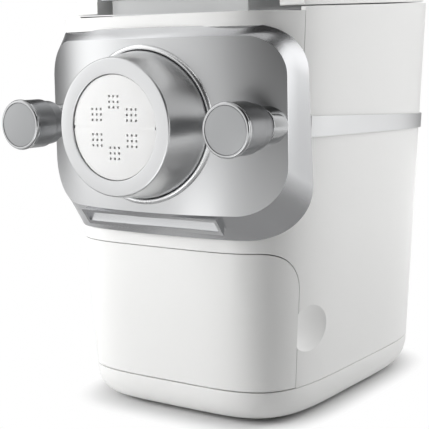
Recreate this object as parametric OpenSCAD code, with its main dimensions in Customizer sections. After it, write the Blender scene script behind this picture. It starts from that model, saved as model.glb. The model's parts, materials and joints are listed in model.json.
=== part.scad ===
// Electric pasta maker: tapered housing, clamped front plate with shaping disc, clear mixing
// chamber, coaxial screw and paddle, two-stage gear drive, accessory drawer and control tower.
// Millimetres. X is to the right, Y to the back, Z up. The origin is under the middle of the
// whole machine, on the table.

/* [Housing] */
// Width of the housing at the height of the dial
body_w = 171.6; // [165:0.2:180]
// Depth of the housing at the height of the dial
body_d = 226.4; // [215:0.2:240]
// Width of the housing at its base seam
base_w = 156.8; // [150:0.2:164]
// Squareness of the plan, as a superellipse exponent
plan_power = 4.76; // [3.5:0.01:6]
// Wall of the housing mouldings
wall = 2.8; // [2:0.1:3.2]
// Height of the extrusion axis above the table
axis_z = 180; // [176:0.5:186]
// Height of the front sill above the extrusion axis
sill_rise = 65; // [63:0.5:70]
// Extra height of the shoulders on both sides of the chamber
shoulder_rise = 3.6; // [2:0.1:6]
// Rise of the side walls' top edge from front to rear
side_rise = 6.7; // [3:0.1:9]
// Distance of the collar's seam behind the housing's front
seam_back = 33.7; // [30:0.1:38]
// Visible gap at the seams of the drawer
seam_gap = 0.4; // [0.3:0.05:0.8]

/* [Base] */
// Height of the plinth
plinth_h = 19.2; // [16:0.1:22]
// Plinth bottom width as a share of its top width
plinth_tuck = 0.886; // [0.84:0.002:0.94]
// Height of the rubber feet
foot_h = 2.5; // [1.5:0.1:4]
// Radius of the rubber feet
foot_r = 9; // [6:0.5:11]
// Radius of the cord opening in the grommet
cord_r = 3.6; // [3:0.1:4.2]

/* [Drawer] */
// Height of the drawer front
drawer_h = 83.4; // [78:0.2:86]
// Distance of the drawer's side seams behind the housing's front
drawer_seam_back = 37.2; // [34:0.1:40]
// Corner radius of the drawer front's upper side corners
drawer_corner = 25; // [15:0.5:30]
// Travel of the drawer to its stop
drawer_travel = 62; // [50:1:64]
// Room for a rail between the drawer tray and each side wall at the base
rail_room = 13.6; // [12.6:0.1:20]
// Wall of the drawer tray
tray_wall = 2; // [1.5:0.1:3]

/* [Front plate] */
// Width of the plate's face
plate_w = 173; // [168:0.5:176]
// Height of the plate's face above the extrusion axis
plate_up = 50.2; // [48:0.2:52]
// Height of the plate's face below the extrusion axis
plate_down = 54; // [52:0.2:56]
// Corner radius of the plate's face
plate_corner = 25; // [18:0.5:30]
// How far the plate's face bows forward at its middle
plate_bow = 21.5; // [18:0.1:24]
// Thickness of the plate
plate_t = 2.2; // [1.6:0.1:2.6]
// Bevel width at both sides of the plate
bevel_side = 6.6; // [5:0.1:8]
// Bevel width at the top of the plate
bevel_top = 6; // [4:0.1:7]
// Bevel width at the bottom of the plate
bevel_bottom = 15; // [12:0.1:17]
// Width of the finger grip under the plate
grip_w = 96; // [70:1:110]

/* [Dial] */
// Radius of the shaping disc's visible face
disc_r = 30.1; // [28:0.1:31]
// Outer radius of the ring's front face
ring_front_r = 39.6; // [38.5:0.1:41]
// Outer radius of the ring where it enters the plate
ring_rear_r = 44.6; // [43.5:0.1:45.5]
// How far the ring's face stands in front of the housing
ring_out = 36.5; // [34:0.1:39]
// Side of one pasta hole
hole_side = 1.35; // [1:0.05:2]
// Pitch of the pasta holes in a group
hole_pitch = 3.15; // [2.6:0.05:3.4]
// Radius of the circle on which the groups of holes lie
group_r = 14.6; // [12:0.1:16]

/* [Clamp knobs] */
// Distance of each knob from the extrusion axis
knob_x = 75; // [73:0.5:77]
// Radius of the knob
knob_r = 15.3; // [13:0.1:17]
// Length of the knob's barrel
knob_len = 31; // [28:0.5:33]
// Radius of the threaded stud
stud_r = 5; // [4:0.1:6]

/* [Extrusion] */
// Bore radius of the extrusion tube
tube_r = 22.3; // [20:0.1:23]
// Radial clearance of the screw in the tube
screw_gap = 0.5; // [0.3:0.05:1]
// Lead of the screw's flight
screw_lead = 28; // [22:0.5:34]
// Thickness of the screw's flight
flight_t = 3; // [2.2:0.1:4]
// Length of the screw's flight
flight_len = 92; // [80:1:94]

/* [Chamber] */
// Outer width of the mixing chamber
chamber_w = 101.6; // [96:0.2:103]
// Length of the mixing chamber
chamber_len = 105; // [98:0.5:107]
// Wall of the mixing chamber
chamber_wall = 2.5; // [2:0.1:3]
// Height of the chamber's rim above the extrusion axis
rim_rise = 75; // [72:0.5:76]
// Clearance between the paddle's bars and the chamber's trough
paddle_gap = 2.5; // [1.5:0.1:4]

/* [Lid and tower] */
// Overall height of the machine
tower_z = 310; // [304:1:316]
// Height of the clear lid above the chamber's rim
lid_h = 17; // [12:0.5:18]
// Clearance of the lid between the tower's arms
lid_gap = 0.6; // [0.4:0.1:1]
// Width of the clear lid beyond each side of the mixing chamber
lid_side = 16.9; // [14:0.1:20]
// Radius of the push buttons
button_r = 6.5; // [5:0.1:7]
// Travel of the push buttons
button_travel = 1; // [0.6:0.1:1.2]

/* [Drive] */
// Radius of the drive shaft
shaft_r = 6; // [5:0.1:6.5]
// Radial clearance of the running fits
fit_gap = 0.06; // [0.02:0.01:0.1]
// Module of the output gear pair
output_module = 1.5; // [1.5:0.01:1.52]
// Module of the motor gear pair
motor_module = 1.25; // [1.25:0.01:1.26]
// Outer radius of the motor
motor_r = 27; // [24:0.5:28]

/* [Hidden] */
$fn = 64;
big = 400;
plan_points = 80;

// Heights
seam_z = foot_h + plinth_h;
drawer_top = seam_z + drawer_h;
sill_z = axis_z + sill_rise;
shoulder_z = sill_z + shoulder_rise;
rim_z = axis_z + rim_rise;

// The housing's plan shrinks evenly towards its base
taper = (1 - base_w / body_w) / (axis_z - seam_z);
side_top_z = sill_z + 1 + side_rise;
half_depth = (ring_out + body_d / 2 + body_d / 2 * (1 + (side_top_z - axis_z) * taper)) / 2;
ring_y = -half_depth;
body_y = ring_y + ring_out + body_d / 2;
seam_y = ring_y + ring_out + seam_back;
drawer_seam = ring_y + ring_out + drawer_seam_back;

function plan_scale(z) = 1 + (z - axis_z) * taper;
function signed_power(v, e) = sign(v) * pow(abs(v), e);
function plan(z, inset = 0, count = plan_points) =
    let (a = body_w / 2 * plan_scale(z) - inset, b = body_d / 2 * plan_scale(z) - inset)
    [for (i = [0:count - 1]) let (t = 360 * i / count)
        [a * signed_power(cos(t), 2 / plan_power), body_y + b * signed_power(sin(t), 2 / plan_power)]];
function plan_ring(z, inset = 0) = [for (p = plan(z, inset)) [p[0], p[1], z]];
// Front surface of the housing at a given place
function front_y(x, z) =
    let (s = plan_scale(z), u = min(0.999, abs(x) / (body_w / 2 * s)))
    body_y - body_d / 2 * s * pow(1 - pow(u, plan_power), 1 / plan_power);
// Rear surface of the housing at a given height, in the middle
function rear_y(z) = body_y + body_d / 2 * plan_scale(z);
// Top edge of the side walls
function side_top(y) = sill_z + 1 + side_rise * (y - seam_y) / (rear_y(sill_z) - seam_y);

// Depths that several assemblies share
chamber_front = front_y(0, axis_z) + 27.8;
collar_low = axis_z - ring_rear_r - 7.4;
output_teeth = 56;
second_teeth = 14;
first_teeth = 72;
pinion_teeth = 12;
output_span = output_module * (output_teeth + second_teeth) / 2;
motor_span = motor_module * (first_teeth + pinion_teeth) / 2;
mid_z = axis_z - output_span;
motor_z = mid_z - motor_span;
frame_low = motor_z - 34;
frame_t = 3;
face_b = 9;
face_a = 7;
drive_depth = frame_t + face_b + face_a + 6;
drive_gap = 7.2;
frame_y = rear_y(frame_low) - wall - drive_gap - drive_depth;
motor_len = 60;
motor_front = frame_y - motor_len;

function arc(cx, cy, r, a0, a1, steps) =
    [for (i = [0:steps]) let (a = a0 + (a1 - a0) * i / steps) [cx + r * cos(a), cy + r * sin(a)]];
// Rounded rectangle from x0 to x1 and y0 to y1, anticlockwise
function round_rect(x0, x1, y0, y1, r, steps = 8) = concat(
    arc(x1 - r, y0 + r, r, -90, 0, steps), arc(x1 - r, y1 - r, r, 0, 90, steps),
    arc(x0 + r, y1 - r, r, 90, 180, steps), arc(x0 + r, y0 + r, r, 180, 270, steps));

// Points between two corners, without the corners themselves
function between(a, b, steps) = [for (i = [1:steps - 1]) a + (b - a) * i / steps];
// Rounded rectangle with extra points along its top and bottom, for bowed surfaces
function bowed_rect(x0, x1, y0, y1, r, steps = 8, along = 12) = concat(
    arc(x1 - r, y0 + r, r, -90, 0, steps), arc(x1 - r, y1 - r, r, 0, 90, steps),
    between([x1 - r, y1], [x0 + r, y1], along),
    arc(x0 + r, y1 - r, r, 90, 180, steps), arc(x0 + r, y0 + r, r, 180, 270, steps),
    between([x0 + r, y0], [x1 - r, y0], along));

// Closed skin through rings of equal length, with a flat cap at each end
module loft(rings) {
    n = len(rings[0]);
    m = len(rings);
    sides = [for (k = [0:m - 2], i = [0:n - 1]) let (j = (i + 1) % n, a = k * n, b = a + n)
        each [[a + i, b + i, b + j], [a + i, b + j, a + j]]];
    bottom = [[for (i = [0:n - 1]) i]];
    top = [[for (i = [0:n - 1]) m * n - 1 - i]];
    polyhedron(points = [for (r = rings) each r], faces = concat(bottom, top, sides));
}

// Closed skin through rings that lie round an opening, joined back to the first one
module loop_loft(rings) {
    n = len(rings[0]);
    m = len(rings);
    sides = [for (k = [0:m - 1], i = [0:n - 1])
        let (j = (i + 1) % n, a = k * n, b = ((k + 1) % m) * n)
        each [[a + i, b + i, b + j], [a + i, b + j, a + j]]];
    polyhedron(points = [for (r = rings) each r], faces = sides);
}

// Extrudes a shape drawn in X and Z along Y
module along_y(y0, y1) {
    translate([0, y1, 0]) rotate([90, 0, 0]) linear_extrude(y1 - y0) children();
}

// Extrudes a shape drawn in Y and Z across X
module across_x(w) {
    translate([-w / 2, 0, 0]) rotate([90, 0, 90]) linear_extrude(w) children();
}

// Round bar along Y
module rod_y(x, z, r, y0, y1) {
    translate([x, y1, z]) rotate([90, 0, 0]) cylinder(r = r, h = y1 - y0);
}

// Revolves a profile of radius and depth behind the ring's face about the line x, z
module turned_y(x, z, points) {
    translate([x, ring_y, z]) rotate([-90, 0, 0]) rotate_extrude($fn = 96)
        polygon(points);
}

module box(x0, x1, y0, y1, z0, z1) {
    translate([x0, y0, z0]) cube([x1 - x0, y1 - y0, z1 - z0]);
}

module both_sides() {
    children();
    mirror([1, 0, 0]) children();
}

// Solid of the tapered housing between two heights
module housing_solid(z0, z1, inset = 0) {
    loft([plan_ring(z0, inset), plan_ring(z1, inset)]);
}

// ---- Housing ----

scoop_len = 22;
scoop_h = 14;
scoop_depth = 3.2;
scoop_z = axis_z - 125;
vent_count = 9;
vent_pitch = 9;
vent_w = 3;
vent_h = 26;
vent_z = seam_z + 34;
grommet_x = -46;
grommet_z = seam_z + 13;
grommet_r = 7;
panel_x = body_w * 0.36;

// Thicker wall behind the scoop
module scoop_pocket() {
    side = body_w / 2 * plan_scale(scoop_z);
    intersection() {
        box(side - wall - 4.5, side - 2, drawer_seam, drawer_seam + scoop_len + 4,
            scoop_z - scoop_h - 3, scoop_z + scoop_h + 3);
        housing_solid(scoop_z - 30, scoop_z + 30, 1);
    }
}

// Shell behind and below the collar, before it is parted into its panels
module housing_shell() {
    difference() {
        union() {
            difference() {
                housing_solid(seam_z, side_top_z + 2);
                housing_solid(seam_z - 1, side_top_z + 3, wall);
            }
            both_sides() scoop_pocket();
        }
        box(-big, big, -big, seam_y, collar_low - 0.1, big);
        drawer_bay(0);
        across_x(big) polygon([[seam_y - 1, side_top(seam_y - 1)], [big, side_top(big)],
            [big, big], [seam_y - 1, big]]);
        both_sides() scoop_cut();
    }
}

// Side wall with both corners, parted from the back wall at panel_x
module side_panel(s) {
    color("whitesmoke") intersection() {
        housing_shell();
        translate([s * (panel_x + big / 2), 0, 0]) cube([big, 2 * big, 2 * big], center = true);
    }
}

module rear_housing() {
    color("whitesmoke") difference() {
        intersection() {
            housing_shell();
            box(-panel_x, panel_x, body_y, big, 0, big);
        }
        for (i = [0:vent_count - 1])
            translate([(i - (vent_count - 1) / 2) * vent_pitch, 0, 0])
                box(-vent_w / 2, vent_w / 2, body_y + 60, big, vent_z, vent_z + vent_h);
        rod_y(grommet_x, grommet_z, grommet_r, body_y + 60, big);
    }
}

// Ellipsoid that leaves a half-moon scoop on the side wall
module scoop_cut() {
    side = body_w / 2 * plan_scale(scoop_z) * 0.968;
    ball = (scoop_h * scoop_h + scoop_depth * scoop_depth) / (2 * scoop_depth);
    translate([side + ball - scoop_depth, drawer_seam, scoop_z])
        scale([1, scoop_len / scoop_h, 1]) sphere(r = ball, $fn = 48);
}

// Space that the drawer front fills, drawn back by a clearance
module drawer_bay(gap) {
    r = drawer_corner;
    y1 = drawer_seam - gap;
    z1 = drawer_top + seam_gap - gap;
    across_x(big) polygon(concat([[-big, 0], [y1, 0]], arc(y1 - r, z1 - r, r, 0, 90, 12), [[-big, z1]]));
}

module front_housing() {
    cavity_top = sill_z - wall;
    color("whitesmoke") {
        drawer_lintel();
        front_collar(cavity_top);
    }
}

// Strip over the drawer, between the side panels
module drawer_lintel() {
    z0 = drawer_top + seam_gap;
    intersection() {
        difference() {
            housing_solid(z0, collar_low);
            housing_solid(z0 - 1, collar_low + 1, wall);
        }
        box(-panel_x, panel_x, -big, body_y, 0, big);
    }
}

module front_collar(cavity_top) {
    difference() {
        housing_solid(collar_low, shoulder_z);
        difference() {
            housing_solid(collar_low + wall, cavity_top, wall);
            stud_seat(1);
            stud_seat(-1);
            rod_y(0, axis_z, pad_r + 2, -big, pad_y + wall);
        }
        box(-big, big, seam_y, big, 0, big);
        difference() {
            box(-big, big, -big, seam_y + 1, 0, big);
            bow_solid(plate_t + plate_room + 0.3);
        }
        rod_y(0, axis_z, pad_r, -big, pad_y);
        box(-chamber_w / 2, chamber_w / 2, -big, big, sill_z, big);
        box(-chamber_w / 2 - 0.3, chamber_w / 2 + 0.3, chamber_front - 0.3, big, cavity_top - 1, big);
        rod_y(0, axis_z, chamber_w / 2 + 0.3, chamber_front - 0.3, big);
        rod_y(0, axis_z, tube_skin_r + 0.2, -big, 0);
        for (s = [-1, 1]) rod_y(s * knob_x, axis_z, stud_r, -big, 0);
    }
}

// Flat seat for the tube's skirt, sunk into the leaning front
pad_r = ring_rear_r + 4.4;
pad_y = ring_y + ring_out + 1.6;

// Boss inside the front housing that carries one clamp stud
module stud_seat(s) {
    rod_y(s * knob_x, axis_z, stud_r + 4, front_y(knob_x - 9, axis_z) - 8, seam_y);
}

// ---- Base ----

module base_plinth() {
    steps = 6;
    tuck = 1 - plinth_tuck;
    shape = [for (i = [0:steps]) let (a = 90 * i / steps)
        [foot_h + plinth_h * (1 - cos(a)), tuck * (1 - sin(a))]];
    rings = [for (s = shape) plinth_ring(s[0], 1 - s[1])];
    color("whitesmoke") difference() {
        loft(rings);
        difference() {
            loft([plinth_ring(foot_h - 1, plinth_tuck - 0.025), plinth_ring(seam_z - wall, 0.955)]);
            at_feet() cylinder(r = screw_r + 4, h = big);
        }
        translate([0, 0, -1]) {
            loft([plinth_ring(0, plinth_tuck - 0.025), plinth_ring(foot_h + deck_t + 1, plinth_tuck - 0.025)]);
            at_feet() cylinder(r = screw_r, h = seam_z - wall);
        }
    }
}

// Outline at the base seam, scaled about the middle of the machine
function plinth_ring(z, k) = [for (p = plan(seam_z)) [p[0] * k, body_y + (p[1] - body_y) * k, z]];

module at_feet() {
    for (x = [-foot_x, foot_x], y = [-foot_y, foot_y]) translate([x, body_y + y, 0]) children();
}

foot_x = base_w * 0.33;
foot_y = body_d * 0.31;
screw_r = 1.75;
deck_t = 2;

// Plate that closes the plinth from below
module base_deck() {
    color("gainsboro") difference() {
        loft([plinth_ring(foot_h, plinth_tuck - 0.027), plinth_ring(foot_h + deck_t, plinth_tuck - 0.027)]);
        at_feet() cylinder(r = screw_r, h = big);
        for (i = [-3:3]) box(i * 12 - 2, i * 12 + 2, body_y + 25, body_y + 65, 0, big);
    }
}

module rubber_feet() {
    color("dimgray") at_feet() difference() {
        cylinder(r1 = foot_r - 1, r2 = foot_r, h = foot_h);
        translate([0, 0, -1]) cylinder(r = screw_r + 1.6, h = foot_h + 2);
    }
}

module base_screws() {
    color("silver") at_feet() translate([0, 0, foot_h - 1.6]) {
        cylinder(r = screw_r + 1.2, h = 1.6);
        cylinder(r = screw_r, h = plinth_h - wall - 1);
    }
}

band_t = 1.3;
band_start = 6.5;
band_front_lo = axis_z - 8.7;
band_front_hi = axis_z + 3.5;
band_rear_lo = axis_z - 13.4;
band_rear_hi = axis_z - 4;

module side_band() {
    color("silver") intersection() {
        difference() {
            housing_solid(axis_z - 30, axis_z + 20, -band_t);
            housing_solid(axis_z - 31, axis_z + 21);
        }
        across_x(big) polygon([[seam_y + band_start, band_front_lo], [rear_y(axis_z) - 20, band_rear_lo],
            [big, band_rear_lo], [big, band_rear_hi], [rear_y(axis_z) - 20, band_rear_hi],
            [seam_y + band_start, band_front_hi]]);
    }
}

module cord_grommet() {
    back = 2 * body_y - front_y(grommet_x, grommet_z) - 0.6;
    color("dimgray") difference() {
        union() {
            rod_y(grommet_x, grommet_z, grommet_r - 0.1, back - wall - 4, back - 0.5);
            rod_y(grommet_x, grommet_z, grommet_r + 2, back - wall - 6.5, back - wall - 3);
        }
        rod_y(grommet_x, grommet_z, cord_r, back - 20, back + 5);
    }
}

// ---- Drawer ----

tray_w = base_w - 2 * (wall + rail_room);
tray_floor = seam_z + 1;
tray_front = front_y(0, tray_floor) + 8.5;
tray_back = motor_front - 6;
tray_h = drawer_h - 14;
tray_corner = 7;

module drawer_front() {
    color("whitesmoke") difference() {
        housing_solid(seam_z + seam_gap, drawer_top);
        difference() {
            housing_solid(seam_z + seam_gap + wall, drawer_top - wall, wall);
            box(-tray_w / 2, tray_w / 2, -big, tray_front, 0, big);
        }
        tray_block(0.1, tray_floor - 0.4);
        difference() {
            box(-big, big, -big, big, 0, big);
            drawer_bay(seam_gap);
        }
    }
}

// Solid of the tray, grown by a clearance
module tray_block(grow, z0) {
    translate([0, 0, z0]) linear_extrude(tray_floor + tray_h - z0 + grow)
        polygon(round_rect(-tray_w / 2 - grow, tray_w / 2 + grow, tray_front, tray_back, tray_corner));
}

// Lugs over the rails meet a stop on each rail when the drawer is out by its travel
rail_t = 3;
rail_h = 14;
rail_x = tray_w / 2 + 0.4;
rail_top = seam_z + rail_h;
stop_y = drawer_seam + 3.2;
lug_y = stop_y + drawer_travel + 0.4;

module drawer_tray() {
    color("gainsboro") difference() {
        union() {
            tray_block(0, tray_floor);
            both_sides() box(tray_w / 2 - 1, rail_x + rail_t, lug_y, lug_y + 4, rail_top + 0.4, rail_top + 3.4);
        }
        translate([0, 0, tray_floor + tray_wall])
            linear_extrude(tray_h)
                polygon(round_rect(-tray_w / 2 + tray_wall, tray_w / 2 - tray_wall,
                    tray_front + tray_wall, tray_back - tray_wall, tray_corner - tray_wall));
    }
}

module drawer_rails() {
    rear = tray_back + 8;
    color("silver") both_sides() {
        box(rail_x, rail_x + rail_t, stop_y - 3, rear, seam_z, rail_top);
        box(rail_x - 10, rail_x + rail_t, rear, rear + 3, seam_z, rail_top);
        box(rail_x, rail_x + rail_t, stop_y - 3, stop_y, rail_top, rail_top + 3.4);
    }
}

// ---- Front plate ----

plate_y = front_y(0, axis_z) - 10.7;
bow_r = (pow(plate_w / 2, 2) + pow(plate_bow, 2)) / (2 * plate_bow);
lip_r = ring_rear_r + 0.6;
lip_t = 1.2;
plate_room = 1;
bezel_t = 2.6;
seat_w = 4;
boss_r = 12;
shank_r = 8;
knob_y = ring_y + 1.8;
boss_y = knob_y + knob_len + 2;

// Depth of the bowed face behind its middle, or of a surface inset behind it
function bow(x, inset = 0) = bow_r - sqrt(pow(bow_r - inset, 2) - x * x);

// Solid behind the bowed face of the plate
module bow_solid(inset = 0) {
    translate([0, plate_y + bow_r, axis_z - 90]) cylinder(r = bow_r - inset, h = 180, $fn = 180);
}

module plate_face() {
    color("silver") difference() {
        intersection() {
            bow_solid();
            along_y(plate_y - 1, plate_y + 40) polygon(bevel_outline(0, 0.1));
        }
        bow_solid(plate_t);
        rod_y(0, axis_z, lip_r + lip_t, -big, 0);
        for (s = [-1, 1]) rod_y(s * knob_x, axis_z, boss_r - 2, -big, 0);
    }
}

// Outline of the face grown by the bevel, from 0 at the face to 1 at the housing
function bevel_outline(k, shrink = 0) = bowed_rect(
    -plate_w / 2 - bevel_side * k + shrink, plate_w / 2 + bevel_side * k - shrink,
    axis_z - plate_down - bevel_bottom * k + shrink, axis_z + plate_up + bevel_top * k - shrink,
    plate_corner + 8 * k - shrink);
// Depth of the plate's back with room behind it
function back_y(x) = plate_y + bow(x, plate_t + plate_room);
// Depth of the bevel's rear edge, which follows the housing
function rim_y(x, z) = max(min(front_y(x, z), front_y(0, z) + bow(x)), back_y(x)) - 0.4;

// Ring of points on the bevel's outline, at a depth given for each place
function bevel_ring(k, shrink, depth) =
    [for (p = bevel_outline(k, shrink)) [p[0], plate_y + bow(p[0], depth), p[1]]];
function rear_ring(k, shrink) =
    [for (p = bevel_outline(k, shrink)) [p[0], rim_y(p[0], p[1]), p[1]]];
function mid_ring(shrink) = [for (p = bevel_outline(0, shrink))
    [p[0], min(plate_y + bow(p[0], plate_t + bezel_t), rim_y(p[0], p[1]) - 0.1), p[1]]];

module plate_bezel() {
    color("lightgray") difference() {
        union() {
            loop_loft([bevel_ring(0, 0.1, 0), bevel_ring(0, 0.1, plate_t + 0.08),
                bevel_ring(0, seat_w, plate_t + 0.08), mid_ring(seat_w), mid_ring(bezel_t),
                rear_ring(1, bezel_t), rear_ring(1, 0), bevel_ring(0, 0, 0)]);
            intersection() {
                grip_shape(2);
                below_bevel();
            }
        }
        grip_shape(0);
    }
}

// Space behind the lower bevel, between it and the housing
module below_bevel() {
    z0 = axis_z - plate_down;
    z1 = z0 - bevel_bottom * 0.9;
    rear = front_y(0, z1) - 1.4;
    across_x(grip_w + 8) polygon([[plate_y + 1, z0 - 0.2], [rear - 2, z1], [rear, z1], [rear - 1, z0 - 1]]);
}

// Long finger grip cut into the lower bevel
module grip_shape(grow) {
    z0 = axis_z - plate_down;
    w = grip_w / 2 + grow;
    rear = front_y(0, z0 - bevel_bottom * 0.9) - 6.4 + grow;
    across_x(2 * w) polygon([[plate_y - 2, z0 - 4 + grow], [rear, z0 - 2.5 + grow],
        [rear, z0 - 9 - grow], [plate_y + 2, z0 - 14 - grow]]);
}

// Rolled bead round the hole in the plate, following its bow
module plate_lip() {
    count = 56;
    section = [[0, plate_t], [0, -1.2], [0.8, -2], [2, -2.1], [3.2, -1.4], [4, -0.05],
        [lip_t - 0.05, -0.05], [lip_t - 0.05, plate_t]];
    rings = [for (s = section) [for (i = [0:count - 1])
        let (a = 360 * i / count, r = lip_r + s[0], x = r * cos(a))
        [x, plate_y + bow(x, s[1]), axis_z + r * sin(a)]]];
    color("lightgray") loop_loft(rings);
}

// ---- Dial ----

disc_flange_r = disc_r + 3.6;
tube_front = 10.4;
tube_skin_r = 26;
skirt_r = disc_flange_r + 2.1;

module dial_ring() {
    depth = ring_out - 0.6;
    color("gainsboro") turned_y(0, axis_z, [
        [disc_r + 0.3, 0.3], [disc_r + 0.6, 0], [ring_front_r - 0.7, 0], [ring_front_r, 0.7],
        [ring_rear_r, depth - 1.4], [lip_r + 1.8, depth - 1.4], [lip_r + 1.8, depth],
        [skirt_r + 0.4, depth], [skirt_r + 0.4, tube_front - 0.1], [disc_flange_r + 0.2, tube_front - 0.1],
        [disc_flange_r + 0.2, 3.9], [disc_r + 0.3, 3.9]]);
}

module shaping_disc() {
    web = 2.4;
    face = 1;
    color("white") difference() {
        turned_y(0, axis_z, [[0, face], [disc_r - 0.3, face], [disc_r, face + 0.3], [disc_r, 4],
            [disc_flange_r, 4], [disc_flange_r, tube_front - 0.4], [tube_r - 0.3, tube_front - 0.4],
            [tube_r - 0.3, face + web], [0, face + web]]);
        for (k = [0:5], i = [-1:1], j = [-1:1]) {
            x = group_r * sin(60 * k) + i * hole_pitch;
            z = axis_z + group_r * cos(60 * k) + j * hole_pitch;
            box(x - hole_side / 2, x + hole_side / 2, ring_y, ring_y + face + web + 1,
                z - hole_side / 2, z + hole_side / 2);
        }
        for (s = [-1, 1]) rod_y(s * disc_r, axis_z, 1.1, ring_y - 1, ring_y + 3.5);
    }
}

// ---- Clamp knobs ----

module knob_boss(s) {
    x = s * knob_x;
    color("silver") difference() {
        union() {
            difference() {
                translate([x, plate_y + 30, axis_z]) rotate([90, 0, 0])
                    cylinder(r1 = boss_r + 1.6, r2 = boss_r - 0.4, h = plate_y + 30 - boss_y);
                bow_solid();
            }
            rod_y(x, axis_z, boss_r - 2.1, boss_y + 2, front_y(knob_x - boss_r + 2, axis_z) - 0.5);
        }
        rod_y(x, axis_z, shank_r + fit_gap, -big, 0);
    }
}

module knob(s) {
    end = front_y(knob_x - boss_r + 2, axis_z) - 0.5 - ring_y;
    d0 = knob_y - ring_y;
    d1 = d0 + knob_len;
    color("silver") turned_y(s * knob_x, axis_z, [
        [0, d0 + 1], [knob_r - 1.6, d0 + 1], [knob_r - 1.6, d0], [knob_r - 1, d0],
        [knob_r, d0 + 1.2], [knob_r, d0 + 4], [knob_r - 0.5, d0 + 4.5], [knob_r - 0.5, d0 + 18],
        [knob_r - 1.6, d0 + 19], [knob_r - 2, d0 + knob_len - 4], [knob_r - 5, d1],
        [shank_r + 1.6, d1], [shank_r + 1.6, d1 + 1.6], [shank_r, d1 + 1.6], [shank_r, end],
        [stud_r + 0.4, end], [stud_r + 0.4, d0 + 12], [0, d0 + 12]]);
}

module knob_cap(s) {
    d0 = knob_y - ring_y;
    color("darkgray") turned_y(s * knob_x, axis_z, [
        [0, d0 + 0.2], [knob_r - 2.2, d0 + 0.2], [knob_r - 1.7, d0 + 0.5], [knob_r - 1.7, d0 + 1],
        [0, d0 + 1]]);
}

module clamp_studs() {
    color("silver") both_sides() {
        rod_y(knob_x, axis_z, stud_r - 0.02, knob_y + 14, seam_y - 1);
    }
}

// ---- Extrusion ----

module extrusion_tube() {
    seat = pad_y - ring_y;
    back = chamber_front + chamber_wall - ring_y;
    color("gainsboro") difference() {
        union() {
            turned_y(0, axis_z, [[tube_r, tube_front], [skirt_r, tube_front], [skirt_r, seat],
                [skirt_r - 2.8, seat], [skirt_r - 2.8, tube_front + 4], [tube_skin_r, tube_front + 4],
                [tube_skin_r, back], [tube_r, back]]);
            intersection() {
                for (k = [0:5]) translate([0, 0, axis_z]) rotate([0, 60 * k + 30, 0])
                    box(tube_skin_r - 1, skirt_r - 1, ring_y + tube_front + 2, ring_y + seat, -1, 1);
                rod_y(0, axis_z, skirt_r - 1, -big, big);
            }
        }
        turned_y(0, axis_z, [[tube_r + 4, tube_front - 1], [tube_r + 7, tube_front - 1],
            [tube_r + 7, tube_front + 1.5], [tube_r + 4, tube_front + 1.5]]);
    }
}

module tube_seal() {
    color("dimgray") turned_y(0, axis_z, [[tube_r + 4, tube_front], [tube_r + 7, tube_front],
        [tube_r + 7, tube_front + 1.5], [tube_r + 4, tube_front + 1.5]]);
}

screw_y = ring_y + tube_front + 1.5;
screw_r_out = tube_r - screw_gap;
flight_end = screw_y + flight_len;
hex_r = shaft_r;

// One cross-section of the screw at a given angle and core radius
function screw_section(turn, core) =
    let (half = 180 * flight_t / screw_lead, free = 360 - 2 * half)
    concat(
        [for (a = [-half:half / 2:half]) [screw_r_out * cos(turn + a), screw_r_out * sin(turn + a)]],
        [for (i = [0:13]) let (a = turn + half * 1.5 + (free - half) * i / 13)
            [core * cos(a), core * sin(a)]]);

module extrusion_screw() {
    steps = 72;
    core_front = screw_r_out * 0.52;
    core_rear = hex_r + 3;
    rings = [for (i = [0:steps])
        let (k = 1 - i / steps, y = screw_y + k * flight_len, turn = 360 * y / screw_lead)
        [for (p = screw_section(turn, core_front + (core_rear - core_front) * k))
            [p[0], y, axis_z + p[1]]]];
    color("white") difference() {
        union() {
            loft(rings);
            rod_y(0, axis_z, core_rear - 0.5, flight_end - 3, flight_end + 8);
        }
        translate([0, flight_end + 9, axis_z]) rotate([90, 0, 0])
            cylinder(r = hex_r + 0.1, h = 30, $fn = 6);
    }
}

paddle_y = flight_end + 8.2;
paddle_back = chamber_front + chamber_len - chamber_wall - 3;
paddle_r = chamber_w / 2 - chamber_wall - paddle_gap;

module mixing_paddle() {
    bar = 7;
    front = chamber_front + chamber_wall + 6;
    color("white") difference() {
        union() {
            rod_y(0, axis_z, hex_r + 4, paddle_y, paddle_back);
            for (a = [0, 180]) translate([0, 0, axis_z]) rotate([0, a, 0]) {
                along_y(paddle_back - 12, paddle_back - 3)
                    polygon([[-7, 0], [7, 0], [4, paddle_r - 5], [-4, paddle_r - 5]]);
                along_y(front, paddle_back - 3)
                    polygon([[-4, paddle_r - bar], [5, paddle_r - bar + 1], [3, paddle_r - 0.8],
                        [-3, paddle_r - 0.8]]);
            }
            translate([0, 0, axis_z]) difference() {
                rod_y(0, 0, paddle_r - 1, front, front + 5);
                rod_y(0, 0, paddle_r - bar, front - 1, front + 6);
            }
        }
        translate([0, paddle_back + 1, axis_z]) rotate([90, 0, 0])
            cylinder(r = hex_r + 0.1, h = paddle_back - paddle_y + 2, $fn = 6);
    }
}

module mixing_chamber() {
    r = chamber_w / 2;
    back = chamber_front + chamber_len;
    w = chamber_wall;
    color("lightblue", 0.4) difference() {
        union() {
            rod_y(0, axis_z, r, chamber_front, back);
            box(-r, r, chamber_front, back, axis_z, rim_z);
            translate([0, 0, rim_z]) linear_extrude(2.5)
                polygon(round_rect(-r - 11, r + 11, chamber_front - 2, back + 3, 6));
        }
        rod_y(0, axis_z, r - w, chamber_front + w, back - w);
        box(-r + w, r - w, chamber_front + w, back - w, axis_z, rim_z + 5);
        rod_y(0, axis_z, tube_skin_r + 0.05, chamber_front - 1, chamber_front + w + 1);
        rod_y(0, axis_z, shaft_r + 3, back - w - 1, back + 1);
    }
}

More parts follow.
